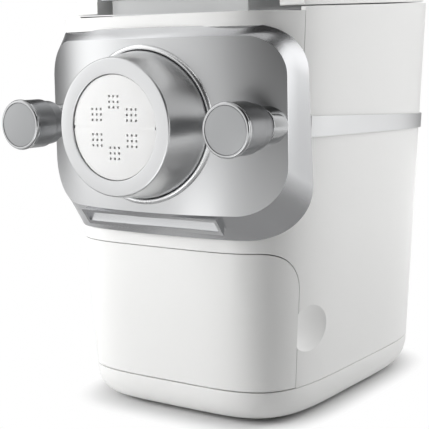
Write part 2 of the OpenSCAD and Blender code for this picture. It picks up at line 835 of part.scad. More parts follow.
module shaft_seal() {
    back = chamber_front + chamber_len;
    color("dimgray") difference() {
        union() {
            rod_y(0, axis_z, shaft_r + 2.95, back - chamber_wall, back);
            rod_y(0, axis_z, shaft_r + 5, back, back + 2);
        }
        rod_y(0, axis_z, shaft_r + 0.35, -big, big);
    }
}

// ---- Lid ----

lid_x = chamber_w / 2 + lid_side;
lid_front = chamber_front - 4;
lid_back = chamber_front + chamber_len + 8;
lid_z = rim_z + 2.9;

module lid_frame() {
    color("whitesmoke") difference() {
        translate([0, 0, lid_z]) linear_extrude(5)
            polygon(round_rect(-lid_x, lid_x, lid_front, lid_back, 8));
        translate([0, 0, lid_z - 1]) linear_extrude(7)
            polygon(round_rect(-lid_x + 9, lid_x - 9, lid_front + 7, lid_back - 7, 6));
        translate([0, 0, lid_z + 3]) linear_extrude(7)
            polygon(round_rect(-lid_x + 6, lid_x - 6, lid_front + 4, lid_back - 4, 7));
    }
}

module lid_window() {
    t = 2.2;
    slots = 5;
    color("lightblue", 0.4) difference() {
        translate([0, 0, lid_z + 3])
            linear_extrude(lid_h - 3)
                polygon(round_rect(-lid_x + 6.1, lid_x - 6.1, lid_front + 4.1, lid_back - 4.1, 7));
        translate([0, 0, lid_z + 2])
            linear_extrude(lid_h - 2 - t)
                polygon(round_rect(-lid_x + 6.1 + t, lid_x - 6.1 - t, lid_front + 4.1 + t,
                    lid_back - 4.1 - t, 5));
        for (i = [0:slots - 1]) translate([0, lid_front + 20 + 9 * i, 0])
            box(-26, 26, -2, 2, lid_z, lid_z + lid_h + 1);
    }
}

// ---- Tower ----

tower_front = lid_back + 0.8;
panel_tilt = 45;
panel_low = lid_z + lid_h - 3;
panel_run = tower_z - panel_low;
panel_len = panel_run / sin(panel_tilt) - 5;
panel_w = 2 * lid_x - 6;
panel_t = 1.6;
panel_r = 5;

// Places children on the sloping panel, with Z out of its surface
module on_panel() {
    translate([0, tower_front + panel_run / 2, panel_low + panel_run / 2])
        rotate([panel_tilt, 0, 0]) children();
}

module tower_solid(inset) {
    round_r = 10;
    step = [for (i = [0:5]) 18 * i];
    rings = concat([plan_ring_at(sill_z - 4, sill_z, 1.2 + inset)],
        [for (a = step) plan_ring_at(tower_z - inset - round_r + round_r * sin(a), sill_z,
            1.2 + inset + round_r * (1 - cos(a)))]);
    intersection() {
        loft(rings);
        across_x(big) polygon(tower_side(inset));
    }
}

function plan_ring_at(z, z_plan, inset) = [for (p = plan(z_plan, inset)) [p[0], p[1], z]];

// Side view of the tower and its arms
function tower_side(inset) = let (i = inset) [
    [seam_y + 0.2 + i, side_top(seam_y) + 0.8 + (i > 0 ? -3 : 0)],
    [big, side_top(big) + 0.8 + (i > 0 ? -3 : 0)], [big, tower_z - i],
    [tower_front + panel_run + i * 0.4, tower_z - i],
    [tower_front + i * 0.4, panel_low - i], [seam_y + 12 + i, rim_z + 9 - i],
    [seam_y + 3 + i, rim_z + 6 - i], [seam_y + 0.2 + i, rim_z + 1 - i]];

module tower_housing() {
    color("whitesmoke") {
        difference() {
            tower_solid(0);
            difference() {
                tower_solid(wall);
                box(-lid_x - lid_gap - wall, lid_x + lid_gap + wall, -big, tower_front + wall, 0, big);
            }
            box(-lid_x - lid_gap, lid_x + lid_gap, -big, tower_front, sill_z - 5, big);
            on_panel() translate([0, 0, -panel_t]) linear_extrude(20) panel_outline(0.1);
            on_panel() for (p = button_places()) translate([p[0], p[1], -10])
                cylinder(r = button_r + 0.4, h = 20);
            on_panel() translate([0, 0, -10]) linear_extrude(20)
                square([display_w - 4, display_h - 4], center = true);
        }
        on_panel() for (x = [-board_w / 2 + 3, board_w / 2 - 3], y = [board_low + 3, board_high - 3])
            translate([x, y, -board_depth]) cylinder(r = 2.5, h = board_depth - wall + 0.5);
    }
}

display_w = panel_w * 0.34;
display_h = panel_len * 0.45;
outer_button = panel_w * 0.402;
inner_button = panel_w * 0.247;
lower_button = panel_len * 0.358;

function button_places() =
    [[-outer_button, 0], [outer_button, 0], [0, -lower_button], [-inner_button, 0], [inner_button, 0]];

module panel_outline(grow) {
    polygon(round_rect(-panel_w / 2 - grow, panel_w / 2 + grow,
        -panel_len / 2 - grow, panel_len / 2 + grow, panel_r));
}

module control_panel() {
    color("dimgray") on_panel() difference() {
        translate([0, 0, -panel_t]) linear_extrude(panel_t) panel_outline(0);
        for (p = button_places()) translate([p[0], p[1], -5]) cylinder(r = button_r + 0.4, h = 10);
        translate([0, 0, -0.8]) linear_extrude(2)
            polygon(round_rect(-display_w / 2, display_w / 2, -display_h / 2, display_h / 2, 3));
    }
}

module display_window() {
    color("black") on_panel() translate([0, 0, -0.8]) linear_extrude(0.8)
        polygon(round_rect(-display_w / 2 + 0.05, display_w / 2 - 0.05,
            -display_h / 2 + 0.05, display_h / 2 - 0.05, 3));
}

// The board hangs on four pillars under the panel
board_depth = wall + 7.5;
board_w = panel_w - 8;
board_low = -15;
board_high = 13;

module push_button(i) {
    p = button_places()[i];
    color("silver") on_panel() translate([p[0], p[1], 0]) {
        translate([0, 0, -3]) cylinder(r1 = button_r, r2 = button_r, h = 3.8);
        translate([0, 0, -board_depth + 1.9 + button_travel]) cylinder(r = 2, h = 8);
        translate([0, 0, -wall - 1.4]) cylinder(r = button_r + 1.2, h = 1.1);
    }
}

module circuit_board() {
    switch_h = 1.4;
    color("darkgreen") on_panel() {
        translate([0, 0, -board_depth - 1.6]) linear_extrude(1.6)
            polygon(round_rect(-board_w / 2, board_w / 2, board_low, board_high, 2));
        for (p = button_places()) translate([p[0] - 3, min(p[1], -3) + (p[1] < -3 ? 5 : 0), -board_depth])
            cube([6, 6, switch_h]);
    }
}

// ---- Chassis and drive ----

chassis_z = drawer_top + seam_gap;
chassis_t = 2.8;
plane_b = frame_y + frame_t + 1;
plane_a = plane_b + face_b + 1;
cover_back = frame_y + drive_depth;
mid_shaft_r = 4;
motor_shaft_r = 3;

module chassis_deck() {
    color("gray") {
        difference() {
            loft([plan_ring(chassis_z, wall + 0.3), plan_ring(chassis_z + chassis_t, wall + 0.3)]);
            box(-big, big, frame_y, big, 0, big);
            rod_y(0, motor_z, motor_r + 1, motor_front - 8, big);
        }
        difference() {
            union() {
                for (y = [chamber_front + 14, chamber_front + chamber_len - 20])
                    box(-chamber_w / 2 + 8, chamber_w / 2 - 8, y, y + 6, chassis_z + chassis_t,
                        axis_z - chamber_w / 4);
            }
            rod_y(0, axis_z, chamber_w / 2 + 0.1, -big, big);
        }
    }
}

bearing_y = chamber_front + chamber_len + 12;
bearing_len = 9;
bearing_r = shaft_r + 7;

module bearing_block() {
    color("gray") difference() {
        union() {
            box(-16, 16, bearing_y - 1, bearing_y + bearing_len + 1, chassis_z + chassis_t, axis_z);
            rod_y(0, axis_z, 19, bearing_y - 1, bearing_y + bearing_len + 1);
        }
        rod_y(0, axis_z, bearing_r, bearing_y, bearing_y + bearing_len + 2);
        rod_y(0, axis_z, bearing_r - 3, -big, big);
    }
}

module shaft_bearing() {
    color("silver") difference() {
        rod_y(0, axis_z, bearing_r - 0.02, bearing_y, bearing_y + bearing_len);
        rod_y(0, axis_z, shaft_r + fit_gap, -big, big);
    }
}

module drive_shaft() {
    hex_front = flight_end - 18;
    hex_back = paddle_back;
    color("silver") {
        translate([0, hex_back, axis_z]) rotate([90, 0, 0])
            cylinder(r = hex_r, h = hex_back - hex_front, $fn = 6);
        rod_y(0, axis_z, shaft_r, hex_back, plane_b + face_b);
        rod_y(0, axis_z, shaft_r + 3, bearing_y + bearing_len + 1.5, bearing_y + bearing_len + 4);
    }
}

backlash = 0.12;
function involute(a) = tan(a) * 180 / PI - a;
// Half angle of a tooth at a given radius
function tooth_half(r, rp, n) = 90 / n - backlash / rp * 180 / PI + involute(20)
    - involute(acos(min(1, rp * cos(20) / r)));
function gear_outline(n, m, turn = 0) =
    let (rp = n * m / 2, ra = rp + 0.9 * m, rf = rp - 1.2 * m, rb = max(rf, rp * cos(20)),
        flank = [[rf, tooth_half(max(rf, rb), rp, n)], [(rb + rp) / 2, tooth_half((rb + rp) / 2, rp, n)],
            [rp, tooth_half(rp, rp, n)], [ra, tooth_half(ra, rp, n)]])
    [for (k = [0:n - 1], j = [0:7])
        let (f = flank[j < 4 ? j : 7 - j], a = turn + 360 * k / n + (j < 4 ? -f[1] : f[1]))
        [f[0] * cos(a), f[0] * sin(a)]];

module gear(z, n, m, y0, y1, turn = 0) {
    translate([0, 0, z]) along_y(y0, y1) polygon(gear_outline(n, m, turn));
}

module screw_gear() {
    rp = output_teeth * output_module / 2;
    color("gold") difference() {
        gear(axis_z, output_teeth, output_module, plane_b, plane_b + face_b);
        rod_y(0, axis_z, shaft_r, -big, big);
        for (k = [0:5]) translate([rp * 0.6 * cos(60 * k + 30), 0, rp * 0.6 * sin(60 * k + 30)])
            rod_y(0, axis_z, rp * 0.2, -big, big);
        difference() {
            rod_y(0, axis_z, rp - 6, plane_b + face_b - 2.5, plane_b + face_b + 1);
            rod_y(0, axis_z, shaft_r + 5, plane_b, plane_b + face_b + 1);
        }
    }
}

module intermediate_gear() {
    rp = first_teeth * motor_module / 2;
    color("gold") difference() {
        union() {
            gear(mid_z, second_teeth, output_module, plane_b, plane_a);
            gear(mid_z, first_teeth, motor_module, plane_a, plane_a + face_a);
        }
        rod_y(0, mid_z, mid_shaft_r, -big, big);
        for (k = [0:5]) translate([rp * 0.6 * cos(60 * k), 0, rp * 0.6 * sin(60 * k)])
            rod_y(0, mid_z, rp * 0.18, -big, big);
    }
}

module intermediate_shaft() {
    color("silver") rod_y(0, mid_z, mid_shaft_r, frame_y - 6, cover_back + 2);
}

module shaft_bushes() {
    color("goldenrod") {
        difference() {
            rod_y(0, mid_z, mid_shaft_r + 2, frame_y - 5, frame_y + frame_t);
            rod_y(0, mid_z, mid_shaft_r + fit_gap, -big, big);
        }
        difference() {
            rod_y(0, mid_z, mid_shaft_r + 2, cover_back - 2.2, cover_back + 2.5);
            rod_y(0, mid_z, mid_shaft_r + fit_gap, -big, cover_back + 2.2);
        }
        difference() {
            rod_y(0, axis_z, shaft_r + 2.5, frame_y - 1, frame_y + frame_t);
            rod_y(0, axis_z, shaft_r + fit_gap, -big, big);
        }
    }
}

frame_w = 104;
frame_high = axis_z + output_span - 2;

function frame_outline(grow) = round_rect(-frame_w / 2 - grow, frame_w / 2 + grow,
    frame_low - grow, frame_high + grow, 20);
function frame_screws() = [[-46, frame_low + 12], [46, frame_low + 12], [-46, frame_high - 12],
    [46, frame_high - 12]];

module gear_frame() {
    color("gray") difference() {
        union() {
            along_y(frame_y, frame_y + frame_t) polygon(frame_outline(0));
            rod_y(0, mid_z, mid_shaft_r + 5, frame_y - 5, frame_y + 1);
        }
        rod_y(0, mid_z, mid_shaft_r + 2.02, -big, big);
        rod_y(0, axis_z, shaft_r + 2.52, -big, big);
        rod_y(0, motor_z, motor_shaft_r + 5, -big, big);
        for (p = frame_screws()) rod_y(p[0], p[1], screw_r, -big, big);
    }
}

module gear_cover() {
    color("gainsboro") difference() {
        along_y(frame_y + frame_t, cover_back) polygon(frame_outline(0));
        along_y(frame_y + frame_t - 1, cover_back - 2.2) polygon(frame_outline(-2.5));
        rod_y(0, mid_z, mid_shaft_r + 2.02, -big, big);
        for (p = frame_screws()) rod_y(p[0], p[1], screw_r, -big, big);
    }
}

module gear_screws() {
    color("silver") for (p = frame_screws()) {
        rod_y(p[0], p[1], screw_r, frame_y - 1, cover_back);
        rod_y(p[0], p[1], screw_r + 1.4, cover_back, cover_back + 1.8);
    }
}

module motor_can() {
    color("silver") difference() {
        rod_y(0, motor_z, motor_r, motor_front, frame_y);
        rod_y(0, motor_z, motor_r - 2, motor_front - 1, frame_y - 3);
        rod_y(0, motor_z, motor_shaft_r + fit_gap, -big, big);
    }
}

module motor_end_bell() {
    color("gray") difference() {
        rod_y(0, motor_z, motor_r - 2.02, motor_front, motor_front + 3);
        rod_y(0, motor_z, motor_shaft_r + fit_gap, -big, big);
        for (k = [0:5]) translate([15 * cos(60 * k), 0, 15 * sin(60 * k)])
            rod_y(0, motor_z, 4, -big, big);
    }
}

module motor_stator() {
    color("dimgray") difference() {
        rod_y(0, motor_z, motor_r - 2.02, motor_front + 12, frame_y - 12);
        rod_y(0, motor_z, motor_r - 9, -big, big);
    }
}

module motor_armature() {
    color("peru") {
        rod_y(0, motor_z, motor_shaft_r, motor_front - 6, plane_a + face_a);
        rod_y(0, motor_z, motor_r - 9.6, motor_front + 14, frame_y - 14);
        rod_y(0, motor_z, motor_r - 15, motor_front + 6, motor_front + 14);
    }
}

module motor_pinion() {
    color("silver") difference() {
        gear(motor_z, pinion_teeth, motor_module, plane_a, plane_a + face_a, 180 / pinion_teeth);
        rod_y(0, motor_z, motor_shaft_r, -big, big);
    }
}

module cooling_fan() {
    hub = 8;
    color("black") difference() {
        union() {
            rod_y(0, motor_z, hub, motor_front - 5.4, motor_front - 0.4);
            for (k = [0:8]) translate([0, 0, motor_z]) rotate([0, 40 * k, 0])
                box(hub - 1, motor_r - 4, motor_front - 5, motor_front - 0.6, -0.7, 0.7);
        }
        rod_y(0, motor_z, motor_shaft_r, -big, big);
    }
}

// ---- Nodes ----

module left_side_panel() { side_panel(-1); }
module right_side_panel() { side_panel(1); }
module left_boss() { knob_boss(-1); }
module right_boss() { knob_boss(1); }
module left_knob() { knob(-1); }
module right_knob() { knob(1); }
module left_knob_cap() { knob_cap(-1); }
module right_knob_cap() { knob_cap(1); }
module power_button() { push_button(0); }
module start_button() { push_button(1); }
module program_button() { push_button(2); }
module minus_button() { push_button(3); }
module plus_button() { push_button(4); }

rear_housing();
left_side_panel();
right_side_panel();
front_housing();
base_plinth();
base_deck();
rubber_feet();
base_screws();
side_band();
cord_grommet();
drawer_front();
drawer_tray();
drawer_rails();
plate_face();
plate_bezel();
plate_lip();
dial_ring();
shaping_disc();
left_boss();
right_boss();
left_knob();
right_knob();
left_knob_cap();
right_knob_cap();
clamp_studs();
extrusion_tube();
tube_seal();
extrusion_screw();
mixing_paddle();
mixing_chamber();
shaft_seal();
lid_frame();
lid_window();
tower_housing();
control_panel();
display_window();
power_button();
start_button();
program_button();
minus_button();
plus_button();
circuit_board();
chassis_deck();
bearing_block();
drive_shaft();
screw_gear();
shaft_bearing();
intermediate_gear();
intermediate_shaft();
shaft_bushes();
gear_frame();
gear_cover();
gear_screws();
motor_can();
motor_end_bell();
motor_stator();
motor_armature();
motor_pinion();
cooling_fan();
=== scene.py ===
import json
import math

import bmesh
import bpy
import numpy as np
from mathutils import Matrix, Vector


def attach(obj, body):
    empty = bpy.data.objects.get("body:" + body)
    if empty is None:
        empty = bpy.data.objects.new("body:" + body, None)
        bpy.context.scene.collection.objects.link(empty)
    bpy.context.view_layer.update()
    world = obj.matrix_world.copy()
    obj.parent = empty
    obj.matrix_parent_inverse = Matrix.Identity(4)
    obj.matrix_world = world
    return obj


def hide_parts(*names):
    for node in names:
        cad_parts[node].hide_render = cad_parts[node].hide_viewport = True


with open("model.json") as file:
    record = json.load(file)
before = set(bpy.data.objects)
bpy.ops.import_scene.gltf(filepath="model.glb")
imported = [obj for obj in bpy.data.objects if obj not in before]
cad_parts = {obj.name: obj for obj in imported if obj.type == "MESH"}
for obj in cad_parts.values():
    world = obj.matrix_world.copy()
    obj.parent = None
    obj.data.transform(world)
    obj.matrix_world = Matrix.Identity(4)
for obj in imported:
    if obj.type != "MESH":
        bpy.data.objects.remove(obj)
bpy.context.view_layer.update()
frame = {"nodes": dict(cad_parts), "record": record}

record = frame["record"]
slotOf = {row["node"]: row["material_slot"] for row in record["subparts"]}
bodyOf = {node: body for body, members in record["behaviour"]["bodies"].items() for node in members}
print("frame loaded:", len(slotOf), "nodes")

# place in metres, angles in degrees
cameraView = {"place": (0.40372, -0.62266, 0.22102), "yaw": 36.193, "down": 6.142, "roll": -1.264,
              "lens": 94.08, "sensor": 36, "shift": (0.08145, -0.09448)}


def placeCamera(view):
    yaw, down, roll = (math.radians(view[k]) for k in ("yaw", "down", "roll"))
    ahead = Vector((-math.sin(yaw) * math.cos(down), math.cos(yaw) * math.cos(down), -math.sin(down)))
    side = Vector((math.cos(yaw), math.sin(yaw), 0))
    top = side.cross(ahead)
    across = math.cos(roll) * side + math.sin(roll) * top
    upward = math.cos(roll) * top - math.sin(roll) * side
    data = bpy.data.cameras.new("camera")
    data.sensor_width = view["sensor"]
    data.lens = view["lens"]
    data.shift_x, data.shift_y = view["shift"]
    camera = bpy.data.objects.new("camera", data)
    turned = Matrix((across, upward, -ahead)).transposed().to_4x4()
    camera.matrix_world = Matrix.Translation(view["place"]) @ turned
    bpy.context.collection.objects.link(camera)
    bpy.context.scene.camera = camera


placeCamera(cameraView)
print("camera placed")


# Adds a shader node and links or sets its inputs; a node stands for its first output
def addNode(tree, kind, inputs=None, **settings):
    node = tree.nodes.new("ShaderNode" + kind)
    for key, value in settings.items():
        setattr(node, key, value)
    for key, value in (inputs or {}).items():
        value = value.outputs[0] if isinstance(value, bpy.types.Node) else value
        if isinstance(value, bpy.types.NodeSocket):
            tree.links.new(value, node.inputs[key])
        else:
            node.inputs[key].default_value = value
    return node


def addMath(tree, operation, *values):
    return addNode(tree, "Math", dict(enumerate(values)), operation=operation).outputs[0]


def addRange(tree, value, fromLow, fromHigh, toLow=0.0, toHigh=1.0, kind="LINEAR"):
    spans = {"Value": value, "From Min": fromLow, "From Max": fromHigh, "To Min": toLow, "To Max": toHigh}
    return addNode(tree, "MapRange", spans, interpolation_type=kind).outputs["Result"]


def emptyTree(owner):
    owner.use_nodes = True
    owner.node_tree.nodes.clear()
    return owner.node_tree


# A node group; the name of an input or output tells its kind
def startGroup(name, inputs, outputs):
    group = bpy.data.node_groups.new(name, "ShaderNodeTree")
    for way, labels in (("INPUT", inputs), ("OUTPUT", outputs)):
        for label in labels.split():
            kind = {"Vector": "Vector", "Stretch": "Vector", "Color": "Color"}.get(label, "Float")
            group.interface.new_socket(label, in_out=way, socket_type="NodeSocket" + kind)
    return group, group.nodes.new("NodeGroupInput").outputs, group.nodes.new("NodeGroupOutput").inputs


# Slow drift of a colour's brightness: its value times 1 - amount to 1 + amount, as a soft noise goes
def makeToneDrift():
    group, given, out = startGroup("tone drift", "Vector Color Scale Amount", "Color")
    noise = addNode(group, "TexNoise", {"Vector": given["Vector"], "Scale": given["Scale"], "Detail": 3})
    low, high = (addMath(group, way, 1.0, given["Amount"]) for way in ("SUBTRACT", "ADD"))
    level = addRange(group, noise.outputs["Fac"], 0.3, 0.7, low, high)
    tone = addNode(group, "HueSaturation", {"Color": given["Color"], "Value": level})
    group.links.new(tone.outputs["Color"], out["Color"])
    return group


# Fine moulded or blasted grain: a height for the bump, and roughness + (grain - 0.5) spread + smears of handling
def makeFineGrain():
    group, given, out = startGroup("fine grain", "Vector Scale Roughness Spread Smear", "Height Roughness")
    grain = addNode(group, "TexNoise", {"Vector": given["Vector"], "Scale": given["Scale"], "Detail": 2}).outputs["Fac"]
    smear = addNode(group, "TexNoise", {"Vector": given["Vector"], "Scale": 26, "Detail": 4, "Distortion": 0.6})
    rough = addMath(group, "MULTIPLY_ADD", addMath(group, "SUBTRACT", grain, 0.5), given["Spread"], given["Roughness"])
    broad = addRange(group, smear.outputs["Fac"], 0.45, 0.75)
    group.links.new(grain, out["Height"])
    group.links.new(addMath(group, "MULTIPLY_ADD", broad, given["Smear"], rough), out["Roughness"])
    return group


# Fine parallel scratches along the direction in which Stretch is small: roughness + (lines - 0.5) spread
def makeBrushLines():
    group, given, out = startGroup("brush lines", "Vector Stretch Scale Roughness Spread", "Height Roughness")
    placed = addNode(group, "Mapping", {"Vector": given["Vector"], "Scale": given["Stretch"]})
    lines = addNode(group, "TexNoise", {"Vector": placed, "Scale": given["Scale"], "Detail": 4, "Roughness": 0.6})
    level = addMath(group, "SUBTRACT", lines.outputs["Fac"], 0.5)
    group.links.new(lines.outputs["Fac"], out["Height"])
    group.links.new(addMath(group, "MULTIPLY_ADD", level, given["Spread"], given["Roughness"]), out["Roughness"])
    return group


toneDrift, fineGrain, brushLines = makeToneDrift(), makeFineGrain(), makeBrushLines()

# For each material slot of the record: linear colour, roughness, its spread, smears, grains or lines per metre,
# bump, drift of tone and 1 for metal; then, where it isn't usual, stretch of brushed lines, alpha and coat
finishes = {
    "housing": ((0.86, 0.86, 0.85), 0.3, 0.03, 0.01, 1600, 0.04, 0.004, 0),
    "inner_white": ((0.74, 0.75, 0.76), 0.42, 0.08, 0.06, 1100, 0.10, 0.015, 0),
    "deck": ((0.17, 0.175, 0.185), 0.5, 0.1, 0.05, 900, 0.2, 0.03, 0),
    "foot": ((0.022, 0.022, 0.024), 0.7, 0.1, 0.1, 900, 0.3, 0.08, 0),
    "steel": ((0.62, 0.63, 0.65), 0.28, 0.12, 0.06, 1500, 0.03, 0.03, 1),
    "band": ((0.74, 0.745, 0.75), 0.3, 0.08, 0.04, 1600, 0.04, 0.01, 1),
    "gland": ((0.035, 0.035, 0.037), 0.62, 0.1, 0.08, 800, 0.25, 0.06, 0),
    "plate": ((0.59, 0.595, 0.60), 0.29, 0.03, 0.01, 2200, 0.015, 0.006, 1),
    "bezel": ((0.60, 0.605, 0.615), 0.26, 0.03, 0.01, 1800, 0.02, 0.01, 1),
    "bead": ((0.88, 0.885, 0.89), 0.27, 0.04, 0.04, 1500, 0.01, 0.01, 1),
    "dial": ((0.66, 0.665, 0.67), 0.3, 0.02, 0.01, 2000, 0.01, 0.006, 1),
    "disc": ((0.79, 0.79, 0.785), 0.3, 0.05, 0.04, 1500, 0.04, 0.01, 0),
    "boss": ((0.52, 0.525, 0.53), 0.12, 0.04, 0.05, 1500, 0.01, 0.01, 1),
    "knob": ((0.33, 0.333, 0.34), 0.33, 0.07, 0.04, 2000, 0.03, 0.01, 1),
    "knob_face": ((0.37, 0.375, 0.38), 0.38, 0.04, 0.01, 2000, 0.02, 0.015, 1),
    "tube": ((0.76, 0.76, 0.76), 0.4, 0.08, 0.05, 1100, 0.08, 0.015, 0),
    "seal": ((0.07, 0.07, 0.074), 0.6, 0.1, 0.08, 900, 0.2, 0.05, 0),
    "auger": ((0.80, 0.80, 0.79), 0.32, 0.06, 0.05, 1200, 0.06, 0.012, 0),
    "chamber": ((0.93, 0.94, 0.945), 0.04, 0.02, 0.03, 700, 0.01, 0.01, 0, 0, 0.38),
    "lid_clear": ((0.93, 0.94, 0.945), 0.04, 0.02, 0.03, 700, 0.01, 0.01, 0, 0, 0.38),
    "panel": ((0.075, 0.078, 0.085), 0.2, 0.04, 0.08, 1500, 0.02, 0.03, 0, 0, 1, 0.6),
    "display": ((0.004, 0.004, 0.005), 0.08, 0.02, 0.06, 1200, 0.005, 0.05, 0, 0, 1, 1),
    "button": ((0.60, 0.605, 0.615), 0.3, 0.1, 0.05, 1800, 0.03, 0.015, 1),
    "board": ((0.008, 0.05, 0.018), 0.35, 0.08, 0.05, 1600, 0.1, 0.12, 0),
    "casting": ((0.42, 0.43, 0.45), 0.5, 0.15, 0.05, 900, 0.25, 0.04, 1),
    "brass": ((0.66, 0.47, 0.19), 0.26, 0.15, 0, 900, 0.05, 0.04, 1, 5),
    "gear": ((0.70, 0.64, 0.46), 0.42, 0.08, 0.05, 1000, 0.1, 0.03, 0),
    "motor": ((0.48, 0.49, 0.51), 0.34, 0.15, 0, 700, 0.04, 0.03, 1, 6),
    "copper": ((0.45, 0.20, 0.10), 0.34, 0.2, 0, 900, 0.3, 0.1, 1, 4),
    "fan": ((0.008, 0.008, 0.009), 0.45, 0.08, 0.05, 1000, 0.1, 0.06, 0),
}
everyFinish = {"toneScale": 18, "bumpReach": 0.0002, "ior": 1.46}
# denser alpha of edge-on clear plastic, and a painted shade that darkens its colour there
clearEdgeDensityAndShade = {"start": 0.5, "denseAt": 0.95, "dense": 0.9, "darkAt": 0.9, "dark": 0.15}


def makeFinish(name, colour, rough, spread, smear, count, bumpLevel, drift, metal, stretch=0, alpha=1, coat=0):
    material = bpy.data.materials.new(name)
    tree = emptyTree(material)
    place = addNode(tree, "TexCoord").outputs["Object"]
    tone = addNode(tree, "Group", {"Vector": place, "Color": (*colour, 1), "Scale": everyFinish["toneScale"],
                                   "Amount": drift}, node_tree=toneDrift).outputs["Color"]
    values = {"Vector": place, "Scale": count, "Roughness": rough, "Spread": spread}
    values.update({"Stretch": (1, 1 / stretch, 1)} if stretch else {"Smear": smear})
    surface = addNode(tree, "Group", values, node_tree=brushLines if stretch else fineGrain).outputs
    bump = addNode(tree, "Bump", {"Height": surface["Height"], "Strength": bumpLevel,
                                  "Distance": everyFinish["bumpReach"]})
    if alpha < 1:  # clear plastic is denser where it is seen edge on, and its colour is darkened there as painted shade
        e = clearEdgeDensityAndShade
        edge = addNode(tree, "LayerWeight", {"Blend": 0.5}).outputs["Facing"]
        alpha = addRange(tree, edge, e["start"], e["denseAt"], alpha, e["dense"])
        level = addRange(tree, edge, e["start"], e["darkAt"], 1.0, e["dark"])
        tone = addNode(tree, "HueSaturation", {"Color": tone, "Value": level}).outputs["Color"]
    shader = addNode(tree, "BsdfPrincipled", {
        "Base Color": tone, "Roughness": surface["Roughness"], "Normal": bump, "Alpha": alpha,
        "Metallic": metal, "IOR": everyFinish["ior"], "Coat Weight": coat})
    addNode(tree, "OutputMaterial", {"Surface": shader})
    return material


finish = {slot: makeFinish(slot, *look) for slot, look in finishes.items()}
for node, piece in frame["nodes"].items():
    piece.data.materials.clear()
    piece.data.materials.append(finish[slotOf[node]])
print("finishes made:", len(finish))

# Shapes are worked out in millimetres, as whole arrays
mm = 0.001
aside, beyond, forward = 200, 400, -300  # how far cutters reach past the machine


def addPiece(name, points, faces):
    mesh = bpy.data.meshes.new(name)
    mesh.from_pydata((np.asarray(points, float).reshape(-1, 3) * mm).tolist(), [], faces)
    piece = bpy.data.objects.new(name, mesh)
    bpy.context.collection.objects.link(piece)
    faceOut(piece)
    return piece


# Merges doubled points and turns every face outwards; flat joins faces that lie within so many degrees
def faceOut(piece, flat=0):
    shape = bmesh.new()
    shape.from_mesh(piece.data)
    bmesh.ops.remove_doubles(shape, verts=shape.verts, dist=2e-6)
    if flat:
        bmesh.ops.dissolve_limit(shape, angle_limit=math.radians(flat), verts=shape.verts, edges=shape.edges)
    bmesh.ops.recalc_face_normals(shape, faces=shape.faces)
    shape.to_mesh(piece.data)
    shape.free()


# Quads between neighbouring rows and columns of a grid of points, where the columns close on themselves
def gridFaces(rows, columns, closeRows):
    row = np.arange(rows if closeRows else rows - 1)[:, None]
    column = np.arange(columns)[None, :]
    nextRow, nextColumn = (row + 1) % rows, (column + 1) % columns
    return np.stack([row * columns + column, row * columns + nextColumn,
                     nextRow * columns + nextColumn, nextRow * columns + column], -1).reshape(-1, 4).tolist()


# Skin through rings of points; the last ring joins the first, or each end gets a cap
def loft(name, rings, closeRows=False):
    rings = np.asarray(rings, float)
    rows, columns = rings.shape[:2]
    faces = gridFaces(rows, columns, closeRows)
    if not closeRows:
        ends = np.arange(rows * columns).reshape(rows, columns)
        faces += [ends[0][::-1].tolist(), ends[-1].tolist()]
    return addPiece(name, rings, faces)


# An outline moved along one axis from start to end
def prism(name, outline, axis, start, end):
    outline = np.asarray(outline, float)
    along = np.stack([np.full(len(outline), start), np.full(len(outline), end)])
    flat = np.broadcast_to(outline, (2, len(outline), 2))
    order = {"x": (along, flat[..., 0], flat[..., 1]), "y": (flat[..., 0], along, flat[..., 1]),
             "z": (flat[..., 0], flat[..., 1], along)}[axis]
    return loft(name, np.stack(order, -1))


def boxPiece(name, left, right, front, rear, low, high=beyond):
    return prism(name, [(left, front), (right, front), (right, rear), (left, rear)], "z", low, high)


def around(steps):
    return np.linspace(0, 2 * np.pi, steps, endpoint=False)


# Arc about x, z: x + r cos t, z + r sin t
def arc(x, z, radius, turn):
    return np.stack([x + radius * np.cos(turn), z + radius * np.sin(turn)], -1)


def rod(name, x, z, radius, start, end, steps=96):
    return prism(name, arc(x, z, radius, around(steps)), "y", start, end)


# A rod on the line of each knob
def knobRods(name, radius, start, end):
    return [rod(name, side * knobX, dialAxis, radius, start, end) for side in (-1, 1)]


# A closed profile of radius and depth turned about the line x, z: x + r cos t, front + d, z + r sin t
def turnedPiece(name, profile, x, z, front, steps=144):
    profile = np.asarray(profile, float)
    angle = around(steps)
    radius, depth = profile[:, :1], np.broadcast_to(profile[:, 1:], (len(profile), steps))
    rings = np.stack([x + radius * np.cos(angle), front + depth, z + radius * np.sin(angle)], -1)
    return loft(name, rings, closeRows=True)


# Each corner P of a closed outline becomes the curve (1-s)^2 A + 2 s (1-s) P + s^2 B between points A and B
# at the corner's radius on its two sides; each row is a point and its radius
def softened(rows, steps=5):
    rows = np.asarray(rows, float)
    points, radius = rows[:, :2], rows[:, 2:]
    before, after = np.roll(points, 1, 0) - points, np.roll(points, -1, 0) - points
    lengths = np.linalg.norm(before, axis=1, keepdims=True), np.linalg.norm(after, axis=1, keepdims=True)
    reach = np.minimum(radius, 0.48 * np.minimum(*lengths))
    a, b = points + before / lengths[0] * reach, points + after / lengths[1] * reach
    s = np.linspace(0, 1, steps)[None, :, None]
    curve = (1 - s) ** 2 * a[:, None] + 2 * s * (1 - s) * points[:, None] + s ** 2 * b[:, None]
    return curve.reshape(-1, 2)


# Length along a line of points up to each of them
def runOf(points):
    return np.concatenate([[0], np.cumsum(np.linalg.norm(np.diff(points, axis=0), axis=1))])


# Points spaced evenly along a closed outline
def evenly(points, count):
    closed = np.vstack([points, points[:1]])
    run = runOf(closed)
    at = np.linspace(0, run[-1], count, endpoint=False)
    return np.stack([np.interp(at, run, closed[:, k]) for k in range(closed.shape[1])], -1)


